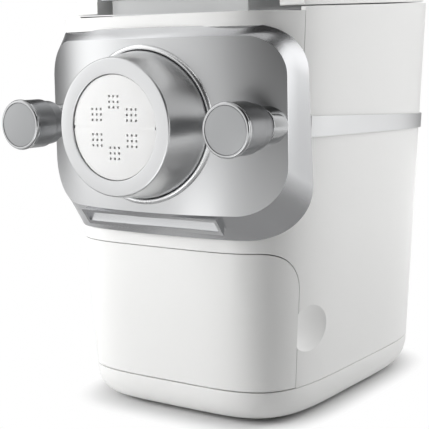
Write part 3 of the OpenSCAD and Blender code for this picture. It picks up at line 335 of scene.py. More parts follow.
# A quarter turn about the centre of each corner, from the lower right on: centre + r (cos t, sin t)
def cornerArcs(centre, radius, steps):
    turn = (np.arange(4)[:, None] - 1) * np.pi / 2 + np.linspace(0, np.pi / 2, steps)
    return (centre + radius * np.stack([np.cos(turn), np.sin(turn)], -1)).reshape(-1, 2)


def roundRect(x0, x1, y0, y1, r, steps=16):
    centre = np.array([(x1 - r, y0 + r), (x1 - r, y1 - r), (x0 + r, y1 - r), (x0 + r, y0 + r)])[:, None]
    return cornerArcs(centre, r, steps)


# Cuts, joins or intersects a piece with each cutter in turn
def carve(piece, *cutters, how="DIFFERENCE"):
    for cutter in cutters:
        step = piece.modifiers.new("carve", "BOOLEAN")
        step.operation, step.solver, step.object = how, "EXACT", cutter
        graph = bpy.context.evaluated_depsgraph_get()
        shape = bpy.data.meshes.new_from_object(piece.evaluated_get(graph))
        piece.modifiers.clear()
        piece.data = shape
        bpy.data.objects.remove(cutter)
    faceOut(piece)
    return piece


# Gives a piece its shading, its edges, its place in the frame and its material
def finishPiece(piece, nodes, edge=0.4, angle=32, segments=2, body=None, slot=None):
    nodes = [nodes] if isinstance(nodes, str) else nodes
    piece.data.shade_smooth()
    piece.data.set_sharp_from_angle(angle=math.radians(angle))
    if edge:
        bevel = piece.modifiers.new("edges", "BEVEL")
        bevel.width, bevel.segments = edge * mm, segments
        bevel.limit_method, bevel.angle_limit = "ANGLE", math.radians(angle)
        bevel.harden_normals = True
    slot = slot or slotOf[nodes[0]]
    piece.data.materials.clear()
    piece.data.materials.append(finish[slot])
    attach(piece, body or bodyOf[nodes[0]])
    if nodes:
        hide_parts(*nodes)


# A CAD node's own shape as one joined skin, with smooth rounds and broken edges
def refined(node, edge, angle=30, flat=0.5):
    mesh = frame["nodes"][node].data
    co = np.empty(len(mesh.vertices) * 3)
    mesh.vertices.foreach_get("co", co)
    corners = np.empty(len(mesh.loops), int)
    mesh.loops.foreach_get("vertex_index", corners)
    points, index = np.unique(np.round(co.reshape(-1, 3) * 1000, 3), axis=0, return_inverse=True)
    faces = index.reshape(-1)[corners].reshape(-1, 3)
    keep = (faces[:, 0] != faces[:, 1]) & (faces[:, 1] != faces[:, 2]) & (faces[:, 0] != faces[:, 2])
    piece = addPiece(node + "_skin", points, faces[keep].tolist())
    faceOut(piece, flat)
    finishPiece(piece, node, edge, angle)


print("tools ready")

# rings are the heights at which the skins get a ring of points of their own
housing = {"width": 171.6, "depth": 226.4, "baseWidth": 156.8, "power": 4.76, "middle": 16.008, "axis": 180.0,
           "baseSeam": 21.7, "wall": 2.8, "sill": 245.0, "topFront": 246.0, "topRear": 252.7, "columns": 360,
           "rings": (34, 44, 55, 66, 78, 110, 150, 190, 226, 262), "edge": 0.5, "crease": 12}
half = (housing["width"] / 2, housing["depth"] / 2)
power, wall = housing["power"], housing["wall"]
shrink = (1 - housing["baseWidth"] / housing["width"]) / (housing["axis"] - housing["baseSeam"])


# The plan is the superellipse |x/a|^p + |y/b|^p = 1: the radius at each angle is (|cos/a|^p + |sin/b|^p)^(-1/p)
def planRadius(angle, a, b):
    return (np.abs(np.cos(angle) / a) ** power + np.abs(np.sin(angle) / b) ** power) ** (-1 / power)


# Angles at which the plan's points are spaced evenly
def planAngles(count, fine=6001):
    dense = np.linspace(0, 2 * np.pi, fine)
    radius = planRadius(dense, *half)
    run = runOf(np.stack([radius * np.cos(dense), radius * np.sin(dense)], -1))
    return np.interp(np.linspace(0, run[-1], count, endpoint=False), run, dense)


planAngle = planAngles(housing["columns"])


# The plan shrinks evenly downwards from the dial's height
def planScale(z):
    return 1 + (z - housing["axis"]) * shrink


# One ring of the plan; inset shortens its half widths, and share scales it about its middle
def planRing(z, inset=0, share=1, planHeight=None):
    a, b = (h * planScale(z if planHeight is None else planHeight) - inset for h in half)
    radius = planRadius(planAngle, a, b) * share
    return np.stack([radius * np.cos(planAngle), housing["middle"] + radius * np.sin(planAngle),
                     np.full(len(planAngle), float(z))], -1)


def housingSolid(name, low, high, inset=0):
    return loft(name, [planRing(low, inset), planRing(high, inset)])


# Depth of the housing's front: middle - b (1 - |x/a|^p)^(1/p)
def frontDepth(x, z):
    s = planScale(z)
    across = np.minimum(0.999, np.abs(x) / (half[0] * s))
    return housing["middle"] - half[1] * s * (1 - across ** power) ** (1 / power)


drawer = {"seam": -59.99, "top": 105.1, "bayTop": 105.5, "gap": 0.5, "corner": 25.0, "trayHalf": 62.0,
          "trayFront": -78.99, "trayBack": 19.64, "trayCorner": 7.0, "trayFloor": 22.7, "trayHigh": 69.4,
          "trayGap": 0.1}


# Side view of the space that the drawer front fills, with one round corner
def drawerBay(name, gap):
    r, y, z = drawer["corner"], drawer["seam"] - gap, drawer["bayTop"] - gap
    corner = arc(y - r, z - r, r, np.linspace(0, np.pi / 2, 24))
    return prism(name, np.vstack([[(-beyond, 0), (y, 0)], corner, [(-beyond, z)]]), "x", -aside, aside)


# the pad thickens the wall behind each finger hollow
scoop = {"length": 22.0, "height": 14.0, "depth": 3.2, "at": 55.0, "shareOut": 0.968,
         "padThick": 4.5, "padOut": 2, "padLong": 26.0, "padHigh": 17, "padSkin": 30,
         "columns": 160, "rows": 81, "tip": 0.01}
collar = {"seam": -63.49, "low": 128.0, "gap": 0.45, "rings": (142, 156, 170, 184, 198, 212, 226, 238, 243.6),
          "chamberHalf": 50.8, "chamberFront": -69.392, "chamberGap": 0.3, "padRadius": 49.0, "padDepth": -95.592,
          "padWall": 2, "tube": 26.2, "stud": 5.0, "seat": 9.0, "seatAt": 66, "seatDeep": 8, "bowGap": 0.3,
          "topLap": 0.7, "roomDeep": 5, "roomLap": 0.9}
vents = {"count": 9, "pitch": 9.0, "width": 3.0, "low": 55.7, "high": 81.7}
cordHole = {"x": -46.0, "z": 34.7, "radius": 7.0}
rearCut = (76, 200)
topSlope = ((housing["topRear"] - housing["topFront"])
            / (half[1] * planScale(housing["sill"]) + housing["middle"] - collar["seam"]))


# Ball stretched along Y: centre + R (cos u cos v, k sin v, sin u cos v)
def scoopBall(name, side):
    ball = (scoop["height"] ** 2 + scoop["depth"] ** 2) / (2 * scoop["depth"])
    u, pole = around(scoop["columns"]), np.pi / 2 - scoop["tip"]
    v = np.linspace(-pole, pole, scoop["rows"])[:, None]
    centre = half[0] * planScale(scoop["at"]) * scoop["shareOut"] + ball - scoop["depth"]
    rings = np.stack([side * (centre + ball * np.cos(u) * np.cos(v)),
                      drawer["seam"] + ball * scoop["length"] / scoop["height"] * np.sin(v) * np.ones_like(u),
                      scoop["at"] + ball * np.sin(u) * np.cos(v)], -1)
    return loft(name, rings)


def makeShell():
    low, top = housing["baseSeam"], housing["rings"][-1]
    shell = loft("housing_shell", [planRing(z) for z in (low + 0.1, *housing["rings"])])
    carve(shell, housingSolid("inside", low - 1, top + 1, wall))
    edge, at = half[0] * planScale(scoop["at"]), scoop["at"]
    for side in (-1, 1):
        pad = boxPiece("pad", edge - wall - scoop["padThick"], edge - scoop["padOut"], drawer["seam"],
                       drawer["seam"] + scoop["padLong"], at - scoop["padHigh"], at + scoop["padHigh"])
        pad.data.transform(Matrix.Diagonal((side, 1, 1, 1)))
        faceOut(pad)
        carve(pad, housingSolid("skin", at - scoop["padSkin"], at + scoop["padSkin"], 1), how="INTERSECT")
        carve(shell, pad, how="UNION")
    front, back = collar["seam"] - 1, beyond + 20
    topAt = [housing["topFront"] + topSlope * (y - collar["seam"]) for y in (front, back)]
    carve(shell, boxPiece("collar", -aside, aside, -beyond, collar["seam"], collar["low"]),
          drawerBay("bay", 0),
          prism("top", [(front, topAt[0]), (back, topAt[1]), (back, beyond), (front, beyond)], "x", -aside, aside),
          scoopBall("scoopLeft", -1), scoopBall("scoopRight", 1))
    w = vents["width"] / 2
    for k in range(vents["count"]):
        x = (k - (vents["count"] - 1) / 2) * vents["pitch"]
        outline = roundRect(x - w, x + w, vents["low"], vents["high"], w - 0.01, 6)
        carve(shell, prism("vent", outline, "y", *rearCut))
    carve(shell, rod("hole", cordHole["x"], cordHole["z"], cordHole["radius"], *rearCut, 64))
    casing = ["rear_housing", "left_side_panel", "right_side_panel"]
    finishPiece(shell, casing, housing["edge"], housing["crease"])


makeShell()
print("housing shell made")

plate = {"front": -107.892, "width": 173.0, "up": 50.2, "down": 51.6, "corner": 22.4, "lowCorner": 29.0, "bow": 21.5,
         "thick": 2.2, "bevelSide": 6.6, "bevelTop": 6.0, "bevelBottom": 15.0, "cornerGrowth": 3.6, "bezelThick": 2.6,
         "room": 1.0, "seat": 4.0, "seatGap": 0.08, "gap": 0.1, "grip": 96.0, "hole": 45.4, "bossHole": 10,
         "outerBlend": 4.0, "innerBlend": 2.0, "rimGap": 0.4, "slopeAt": (0.97, 0.5, 0.03), "sheetHalf": 100,
         "sheetSteps": 201, "sheetBelow": 80, "sheetAbove": 70, "sheetDepths": (-140, -60)}
bowRadius = ((plate["width"] / 2) ** 2 + plate["bow"] ** 2) / (2 * plate["bow"])
knobX, dialAxis = 75.0, housing["axis"]
ringFront = -133.692


# Depth of the bowed face behind its middle: R - sqrt((R - inset)^2 - x^2)
def bow(x, inset=0):
    return bowRadius - np.sqrt((bowRadius - inset) ** 2 - np.asarray(x) ** 2)


# Solid behind a cylinder of radius R - inset whose foremost line is the plate's middle
def bowSolid(name, inset):
    curve = arc(0, plate["front"] + bowRadius, bowRadius - inset, np.linspace(-np.pi, 0, 361))
    return prism(name, curve, "z", dialAxis - 90, dialAxis + 90)


def makeCollar():
    c, low, ceiling = collar, collar["low"] + 0.02, housing["sill"] - wall
    piece = loft("front_collar", [planRing(z) for z in (low, *c["rings"])])
    inside = housingSolid("inside", low + wall, ceiling, wall)
    for seat in knobRods("seat", c["seat"], frontDepth(c["seatAt"], dialAxis) - c["seatDeep"], c["seam"]):
        carve(inside, seat)
    carve(inside, rod("pad", 0, dialAxis, c["padRadius"] + c["padWall"], forward, c["padDepth"] + wall))
    carve(piece, inside, boxPiece("rear", -aside, aside, c["seam"] - c["gap"], beyond, 0))
    bowTop = dialAxis + plate["up"] + plate["bevelTop"] - c["topLap"]
    front = boxPiece("front", -aside, aside, -beyond, c["seam"] + 1, 0, bowTop)
    carve(front, bowSolid("bowed", plate["thick"] + plate["room"] + c["bowGap"]))
    h, y, roomy = c["chamberHalf"], c["chamberFront"] - c["chamberGap"], c["chamberHalf"] + c["chamberGap"]
    carve(piece, front, rod("pad", 0, dialAxis, c["padRadius"], forward, c["padDepth"]),
          boxPiece("mouth", -h, h, -beyond, beyond, housing["sill"]),
          boxPiece("room", -roomy, roomy, y, beyond, ceiling - c["roomDeep"], ceiling - c["roomLap"]),
          rod("trough", 0, dialAxis, roomy, y, -forward), rod("tube", 0, dialAxis, c["tube"], forward, 0))
    for stud in knobRods("stud", c["stud"], forward, 0):
        carve(piece, stud)
    finishPiece(piece, "front_housing", housing["edge"], housing["crease"])


makeCollar()
print("front collar made")


def makeDrawerFront():
    d, low, high = drawer, housing["baseSeam"] + 0.4, drawer["top"]
    gap, w, front = d["trayGap"], d["trayHalf"], d["trayFront"]
    piece = housingSolid("drawer_face", low, high)
    inside = housingSolid("inside", low + wall, high - wall, wall)
    carve(inside, boxPiece("keep", -w, w, -beyond, front, 0))
    plan = roundRect(-w - gap, w + gap, front, d["trayBack"], d["trayCorner"])
    carve(piece, inside, prism("tray", plan, "z", d["trayFloor"] - 0.4, d["trayFloor"] + d["trayHigh"] + gap))
    carve(piece, drawerBay("bay", d["gap"]), how="INTERSECT")
    finishPiece(piece, "drawer_front", housing["edge"])


makeDrawerFront()
print("drawer front made")

plinth = {"low": 2.5, "high": 21.35, "tuck": 0.114, "steps": 14, "recess": 0.861, "recessDeep": 2.1}


# The plinth turns in below as a quarter ellipse: share 1 - tuck (1 - sin t), height low + h (1 - cos t)
def makePlinth():
    low, seam, turn = plinth["low"], housing["baseSeam"], np.linspace(0, np.pi / 2, plinth["steps"])
    share = 1 - plinth["tuck"] * (1 - np.sin(turn))
    height = low + (plinth["high"] - low) * (1 - np.cos(turn))
    piece = loft("plinth", [planRing(z, share=k, planHeight=seam) for z, k in zip(height, share)])
    recess = [planRing(z, share=plinth["recess"], planHeight=seam) for z in (0, low + plinth["recessDeep"])]
    carve(piece, loft("recess", recess))
    finishPiece(piece, "base_plinth", housing["edge"])


makePlinth()
print("plinth made")

band = {"thick": 1.3, "start": -56.99, "frontLow": 171.3, "frontHigh": 183.5, "rearLow": 166.6, "rearHigh": 176.0,
        "bend": 109.2, "from": 150, "to": 200, "edge": 0.45}


# A skin over the housing, cut to a side view that slopes and then runs level
def makeBand():
    b = band
    piece = housingSolid("silver_band", b["from"], b["to"], -b["thick"])
    side = [(b["start"], b["frontLow"]), (b["bend"], b["rearLow"]), (beyond, b["rearLow"]),
            (beyond, b["rearHigh"]), (b["bend"], b["rearHigh"]), (b["start"], b["frontHigh"])]
    carve(piece, prism("side", side, "x", -aside, aside), how="INTERSECT")
    carve(piece, housingSolid("inside", b["from"] - 1, b["to"] + 1))
    finishPiece(piece, "side_band", b["edge"], segments=3)


makeBand()


# Outline of the plate's face at k = 0, which grows by the bevel up to k = 1 at the housing
def bevelOutline(k, inset, count=480):
    p = plate
    x = p["width"] / 2 + p["bevelSide"] * k - inset
    low = dialAxis - p["down"] - p["bevelBottom"] * k + inset
    high = dialAxis + p["up"] + p["bevelTop"] * k - inset
    radius = np.array([p["lowCorner"], p["corner"], p["corner"], p["lowCorner"]])[:, None, None]
    radius = radius + p["cornerGrowth"] * k - inset
    outward = np.array([(1, -1), (1, 1), (-1, 1), (-1, -1)])[:, None]
    centre = np.array([(x, low), (x, high), (-x, high), (-x, low)])[:, None] - radius * outward
    return evenly(cornerArcs(centre, radius, 40), count)


def makePlateFace():
    p = plate
    x = np.linspace(-p["sheetHalf"], p["sheetHalf"], p["sheetSteps"])
    front = np.stack([x, p["front"] + bow(x)], -1)
    rear = np.stack([x, p["front"] + bow(x, p["thick"])], -1)[::-1]
    heights = dialAxis - p["sheetBelow"], dialAxis + p["sheetAbove"]
    piece = prism("plate_sheet", np.vstack([front, rear]), "z", *heights)
    carve(piece, prism("outline", bevelOutline(0, p["gap"]), "y", *p["sheetDepths"]), how="INTERSECT")
    carve(piece, rod("hole", 0, dialAxis, p["hole"], forward, 0, 160))
    for hole in knobRods("boss", p["bossHole"], forward, 0):
        carve(piece, hole)
    finishPiece(piece, "plate_face", edge=0.25)


makePlateFace()


# The lesser of two curves, rounded where they cross: (a + b - sqrt((a - b)^2 + w^2)) / 2; the greater if w < 0
def softLeast(a, b, w):
    return (a + b - math.copysign(1, w) * np.sqrt((a - b) ** 2 + w * w)) / 2


# Depth of the bevel's rear edge, which follows the housing
def rimDepth(x, z):
    inner = plate["front"] + bow(x, plate["thick"] + plate["room"])
    outer = softLeast(frontDepth(x, z), frontDepth(0 * x, z) + bow(x), plate["outerBlend"])
    return softLeast(outer, inner, -plate["innerBlend"]) - plate["rimGap"]


# points of the finger recess and of its lip, as depth behind the plate's front and height below the plate
recess = {"mouth": [(-2, 4), (8.5, 2.5), (8.5, 9), (2, 14)], "walls": [(-2, 2), (10.5, 0.5), (10.5, 11), (2, 16)],
          "behind": [(1, 0.2), (11.5, 13.5), (13.5, 13.5), (12.5, 1)], "corner": 1.2, "lip": 4, "wall": 2}


# Rings from the face's edge over its seat and inside the slope to the rear edge, and straight back along the slope
def makeBezel():
    def ring(grown, inset, depthAt):
        x, z = bevelOutline(grown, inset).T
        return np.stack([x, depthAt(x, z), z], -1)

    def bowed(deep):
        return lambda x, z: plate["front"] + bow(x, deep)

    def middle(x, z):
        return np.minimum(bowed(plate["thick"] + plate["bezelThick"])(x, z), rimDepth(x, z) - 0.1)

    def fingerPiece(name, points, halfWidth):
        outline = [(plate["front"] + back, dialAxis - plate["down"] - down) for back, down in points]
        if name == "grip":
            outline = softened([(*point, recess["corner"]) for point in outline])
        return prism(name, outline, "x", -halfWidth, halfWidth)

    gap, seat, thick = plate["gap"], plate["seat"], plate["bezelThick"]
    seatDepth = bowed(plate["thick"] + plate["seatGap"])
    front, rear = ring(0, 0, bowed(0)), ring(1, 0, rimDepth)
    slope = [front + (rear - front) * share for share in plate["slopeAt"]]
    rings = [ring(0, gap, bowed(0)), ring(0, gap, seatDepth), ring(0, seat, seatDepth), ring(0, seat, middle),
             ring(0, thick, middle), ring(1, thick, rimDepth), rear, *slope]
    piece = loft("plate_surround", rings, closeRows=True)
    w = plate["grip"] / 2
    behind = fingerPiece("behind", recess["behind"], w + recess["lip"])
    carve(behind, fingerPiece("wide", recess["walls"], w + recess["wall"]), how="INTERSECT")
    carve(piece, behind, how="UNION")
    carve(piece, fingerPiece("grip", recess["mouth"], w))
    finishPiece(piece, "plate_bezel", edge=0.55, angle=28)


makeBezel()

dial = {"disc": 30.1, "frontRadius": 39.6, "rearRadius": 44.6, "depth": 35.9, "lip": 1.4, "lipRadius": 47,
        "flange": 33.7, "skirt": 35.8, "tube": 10.4, "seat": 3.9, "steps": 192}
# section rows are distance from the dial, depth behind the face and corner radius
bead = {"clearance": 0.4, "columns": 192,
        "section": [(0, plate["thick"], 0.1), (0, -0.8, 0.4), (0.5, -1.5, 0.6), (1.5, -1.6, 0.7), (2.5, -1.0, 0.7),
                    (3.0, -0.05, 0.2), (1.5, -0.05, 0.1), (1.5, plate["thick"], 0.1)]}


# A small rolled section carried round the hole, whose inner radius follows the dial's cone:
# r0 + (r1 - r0) depth / length + clearance
def makeBead():
    section = softened(bead["section"])
    turn = around(bead["columns"])
    ringDepth = plate["front"] - ringFront + bow(dial["rearRadius"] * np.cos(turn))
    growth = (dial["rearRadius"] - dial["frontRadius"]) * ringDepth / (dial["depth"] - dial["lip"])
    radius, depth = dial["frontRadius"] + growth + bead["clearance"] + section[:, :1], section[:, 1:]
    x = radius * np.cos(turn)
    rings = np.stack([x, plate["front"] + bow(x, depth), dialAxis + radius * np.sin(turn)], -1)
    finishPiece(loft("rolled_bead", rings, closeRows=True), "plate_lip", edge=0, angle=50)


makeBead()
print("plate made")


# A turned piece at the dial's height; rows are radius, depth behind the dial's front and corner radius
def turnedSoft(name, x, rows, steps=144):
    return turnedPiece(name, softened(rows), x, dialAxis, ringFront, steps)


def makeDial():
    d = dial
    rear, bore, skirt = d["depth"] - d["lip"], d["disc"] + 0.3, d["skirt"] + 0.4
    flange, tube = d["flange"] + 0.2, d["tube"] - 0.1
    rows = [(bore, 0, 0.5), (d["frontRadius"], 0, 1.1), (d["rearRadius"], rear, 0.3), (d["lipRadius"], rear, 0.2),
            (d["lipRadius"], d["depth"], 0.2), (skirt, d["depth"], 0.1), (skirt, tube, 0.1), (flange, tube, 0.1),
            (flange, d["seat"], 0.1), (bore, d["seat"], 0.1)]
    finishPiece(turnedSoft("dial_collar", 0, rows, d["steps"]), "dial_ring", edge=0, angle=28)


makeDial()

disc = {"radius": 30.1, "face": 1.0, "web": 2.4, "rim": 4, "bore": 22.0, "holeSide": 1.35, "holeDeep": 8, "pitch": 3.15,
        "groupRadius": 14.6, "groups": 6, "notch": 1.1, "notchDeep": 3.5}


# Groups of nine square holes, each group at radius r and angle t: r sin t, r cos t, plus steps of one pitch
def discHoles():
    step = np.arange(-1, 2) * disc["pitch"]
    lean = np.arange(disc["groups"]) * 2 * np.pi / disc["groups"]
    lean, right, up = (grid.ravel() for grid in np.meshgrid(lean, step, step, indexing="ij"))
    x, z = disc["groupRadius"] * np.sin(lean) + right, disc["groupRadius"] * np.cos(lean) + up
    s = disc["holeSide"] / 2
    square = np.array([(-s, -s), (s, -s), (s, s), (-s, s)])
    ends = np.array([ringFront, ringFront + disc["holeDeep"]])
    points = np.stack(np.broadcast_arrays(x[:, None, None] + square[None, None, :, 0], ends[None, :, None],
                                          dialAxis + z[:, None, None] + square[None, None, :, 1]), -1)
    one = np.array([[0, 1, 5, 4], [1, 2, 6, 5], [2, 3, 7, 6], [3, 0, 4, 7], [3, 2, 1, 0], [4, 5, 6, 7]])
    return addPiece("holes", points, (one[None] + 8 * np.arange(len(x))[:, None, None]).reshape(-1, 4).tolist())


def makeDisc():
    d, flange, tube, inner = disc, dial["flange"], dial["tube"] - 0.4, disc["face"] + disc["web"]
    rows = [(0, d["face"], 0), (d["radius"], d["face"], 0.45), (d["radius"], d["rim"], 0.1), (flange, d["rim"], 0.2),
            (flange, tube, 0.2), (d["bore"], tube, 0.2), (d["bore"], inner, 0.2), (0, inner, 0)]
    piece = turnedSoft("shaping_face", 0, rows)
    notches = [rod("notch", side * d["radius"], dialAxis, d["notch"], ringFront - 1, ringFront + d["notchDeep"], 32)
               for side in (-1, 1)]
    carve(piece, discHoles(), *notches)
    finishPiece(piece, "shaping_disc", edge=0.08, angle=40, segments=1)


makeDisc()
print("dial made")

knob = {"front": -131.892, "length": 31.0, "radius": 15.3, "shank": 8.0, "bore": 5.4, "boreFrom": 12, "grip": 18,
        "trim": 1.9, "trimDepth": 2.6, "bossRadius": 10.8, "bossGap": 2, "bossDepth": 30, "clearance": 0.06}


# Barrel, bright ring, face and boss of one clamp, as rows of radius, depth and corner radius
def makeClamp(side, word):
    x, r, d, shank = side * knobX, knob["radius"], knob["front"] - ringFront, knob["shank"]
    rear, trim, boss = d + knob["length"], r - knob["trim"], knob["bossRadius"]
    end = frontDepth(knobX - boss + 2, dialAxis) - 0.5 - ringFront
    barrel = [(0, d + 1, 0), (r - 1.6, d + 1, 0.2), (r - 1.6, d + 0.4, 0.15), (r - 0.9, d + 0.4, 0.3),
              (r - 0.3, d + 1.3, 0.8), (r - 0.3, d + 4, 0.4), (r - 0.5, d + 4.5, 0.4), (r - 0.5, d + knob["grip"], 0.5),
              (r - 1.6, d + knob["grip"] + 1, 0.6), (r - 1.9, rear - 4, 3.0), (r - 5, rear, 2.5),
              (shank + 1.6, rear, 0.3), (shank + 1.6, rear + 1.6, 0.3), (shank, rear + 1.6, 0.3), (shank, end, 0.2),
              (knob["bore"], end, 0.1), (knob["bore"], d + knob["boreFrom"], 0.1), (0, d + knob["boreFrom"], 0)]
    ring = [(trim, d + 0.9, 0.1), (trim, d, 0.25), (r - 0.7, d, 0.5), (r, d + 0.9, 0.6),
            (r, d + knob["trimDepth"], 0.3), (r - 0.6, d + knob["trimDepth"], 0.1), (r - 0.6, d + 0.9, 0.1)]
    face = [(0, d + 0.2, 0), (trim - 0.1, d + 0.2, 0.5), (trim - 0.1, d + 1, 0.1), (0, d + 1, 0)]
    finishPiece(turnedSoft(word + "_clamp_barrel", x, barrel), word + "_knob", edge=0, angle=30)
    finishPiece(turnedSoft(word + "_clamp_ring", x, ring), [], edge=0, angle=30, body=word + "_knob_body", slot="boss")
    finishPiece(turnedSoft(word + "_clamp_face", x, face), word + "_knob_cap", edge=0, angle=30)
    bossFront, bore = rear + knob["bossGap"], shank + knob["clearance"]
    depth = knob["bossDepth"] + plate["front"] - ringFront
    body = [(bore, bossFront, 0.2), (boss - 0.4, bossFront, 1.2), (boss + 1.6, depth, 0.2), (bore, depth, 0.2)]
    piece = carve(turnedSoft(word + "_clamp_boss", x, body), bowSolid("face", 0))
    inner = [(bore, bossFront + 2), (boss - 2.1, bossFront + 2), (boss - 2.1, end), (bore, end)]
    carve(piece, turnedPiece("inner", inner, x, dialAxis, ringFront), how="UNION")
    finishPiece(piece, word + "_boss", edge=0.2, angle=30)


makeClamp(-1, "left")
makeClamp(1, "right")
print("clamps made")

# nose is the front end of the tower's arms, as distance from the seam and above the rim, with corner radii
tower = {"high": 310.0, "round": 10.0, "inset": 1.2, "low": 241.0, "foot": 246.8, "under": 3, "back": 300, "gap": 0.2,
         "front": 44.408, "panelLow": 271.9, "rim": 255.0, "lidHalf": 68.3, "tilt": 45.0,
         "nose": [(12, 9), (3, 6), (0.2, 1)], "corners": [1, 0, 0, 4, 3, 5, 3, 2], "innerCorner": 0.5}
tower["run"] = tower["high"] - tower["panelLow"]


# Side view of the tower and its arms, as rows of depth, height and corner radius
def towerSide(inset):
    t, y = tower, collar["seam"]
    low, lean = t["foot"] - (t["under"] if inset else 0), inset * 0.4
    points = [(y + t["gap"] + inset, low), (t["back"], low + topSlope * (t["back"] - y)),
              (t["back"], t["high"] - inset), (t["front"] + t["run"] + lean, t["high"] - inset),
              (t["front"] + lean, t["panelLow"] - inset)]
    points += [(y + back + inset, t["rim"] + up - inset) for back, up in t["nose"]]
    corners = [t["innerCorner"]] * len(points) if inset else t["corners"]
    return [(*point, corner) for point, corner in zip(points, corners)]


# The plan's ring drawn up and rounded in at the top: height high - r + r sin t, inset r (1 - cos t)
def towerSolid(name, inset):
    turn = np.linspace(0, np.pi / 2, 14)
    high = tower["high"] - inset - tower["round"] + tower["round"] * np.sin(turn)
    tuck = tower["inset"] + inset + tower["round"] * (1 - np.cos(turn))
    rings = [planRing(z, k, planHeight=housing["sill"]) for z, k in
             zip((tower["low"], *high), (tower["inset"] + inset, *tuck))]
    return carve(loft(name, rings), prism("side", softened(towerSide(inset)), "x", -aside, aside),
                 how="INTERSECT")


# Puts a piece that is made as across, up the slope and out of it on the sloping panel
def onPanel(piece):
    c = math.cos(math.radians(tower["tilt"]))
    middle = Vector((0, tower["front"] + tower["run"] / 2, tower["panelLow"] + tower["run"] / 2)) * mm
    piece.data.transform(Matrix.Translation(middle) @ Matrix(((1, 0, 0), (0, c, -c), (0, c, c))).to_4x4())
    return piece


panel = {"half": 64.7, "length": 48.88, "corner": 5.0, "gap": 0.1, "seat": -1.6, "display": (44.0, 22.0), "ledge": 2,
         "buttonRadius": 6.9, "buttons": [(-52.02, 0), (52.02, 0), (0, -17.5), (-31.96, 0), (31.96, 0)],
         "pillars": [(-57.7, -12), (57.7, -12), (-57.7, 10), (57.7, 10)], "pillarRadius": 2.5, "pillarDepth": 10.3,
         "through": (-10, 10)}


def makeTower():
    piece, inside = towerSolid("control_tower", 0), towerSolid("inside", wall)
    side, reach = tower["lidHalf"], tower["lidHalf"] + wall
    carve(inside, boxPiece("keep", -reach, reach, -beyond, tower["front"] + wall, 0))
    carve(piece, inside, boxPiece("lidRoom", -side, side, -beyond, tower["front"], housing["sill"] - 5))
    h, v = panel["half"] + panel["gap"], panel["length"] / 2 + panel["gap"]
    w, d = (size / 2 - panel["ledge"] for size in panel["display"])
    cutters = [prism("seat", roundRect(-h, h, -v, v, panel["corner"]), "z", panel["seat"], 20)]
    for x, y in panel["buttons"]:
        cutters.append(prism("button", arc(x, y, panel["buttonRadius"], around(48)), "z", *panel["through"]))
    cutters.append(prism("view", roundRect(-w, w, -d, d, 1), "z", *panel["through"]))
    carve(piece, *[onPanel(c) for c in cutters])
    for x, y in panel["pillars"]:
        pillar = arc(x, y, panel["pillarRadius"], around(48))
        carve(piece, onPanel(prism("pillar", pillar, "z", -panel["pillarDepth"], 0.5 - wall)), how="UNION")
    finishPiece(piece, "tower_housing", housing["edge"])


makeTower()
print("tower made")

# nodes that keep their own shape, with the width of their broken edges
skins = [(0.4, "mixing_chamber"), (0.6, "lid_frame lid_window"), (0.25, "control_panel"), (0.15, "display_window"),
         (0.4, "power_button start_button program_button minus_button plus_button drawer_tray cord_grommet"),
         (0.2, "extrusion_tube"), (0.3, "mixing_paddle extrusion_screw rubber_feet")]
for edge, nodes in skins:
    for node in nodes.split():
        refined(node, edge)

# the white wall that closes the view through the clear chamber
backing = {"left": -58.0, "right": 58.0, "front": 40.2, "rear": 43.8, "low": 206.0, "high": 246.4}
finishPiece(boxPiece("chamber_backing", **backing), [], body="machine", slot="housing")
print("inner pieces refined")

studio = {"worldForObject": 0.26, "footprint": (0.078, 0.104, 0.016), "floorHalf": 4000, "floorColour": 0.74,
          "fadeStart": 0.32, "fadeEnd": 0.75, "nearStart": 0.92, "nearEnd": 1.17, "middle": 0.15}
whole = (1, 1, 1, 1)


# White wherever the camera, a mirror or clear plastic looks, and a dimmer grey as the light of the room
def makeWorld():
    world = bpy.data.worlds.new("studio")
    bpy.context.scene.world = world
    tree = emptyTree(world)
    path = addNode(tree, "LightPath").outputs
    seen = addMath(tree, "MAXIMUM", path["Is Camera Ray"], path["Is Glossy Ray"])
    seen = addMath(tree, "MAXIMUM", seen, path["Is Transmission Ray"])
    room = addNode(tree, "Background", {"Color": whole, "Strength": studio["worldForObject"]})
    white = addNode(tree, "Background", {"Color": whole, "Strength": 1})
    mix = addNode(tree, "MixShader", {0: seen, 1: room, 2: white})
    addNode(tree, "OutputWorld", {"Surface": mix})


def stageTree(piece):
    material = bpy.data.materials.new(piece.name)
    piece.data.materials.append(material)
    return emptyTree(material)


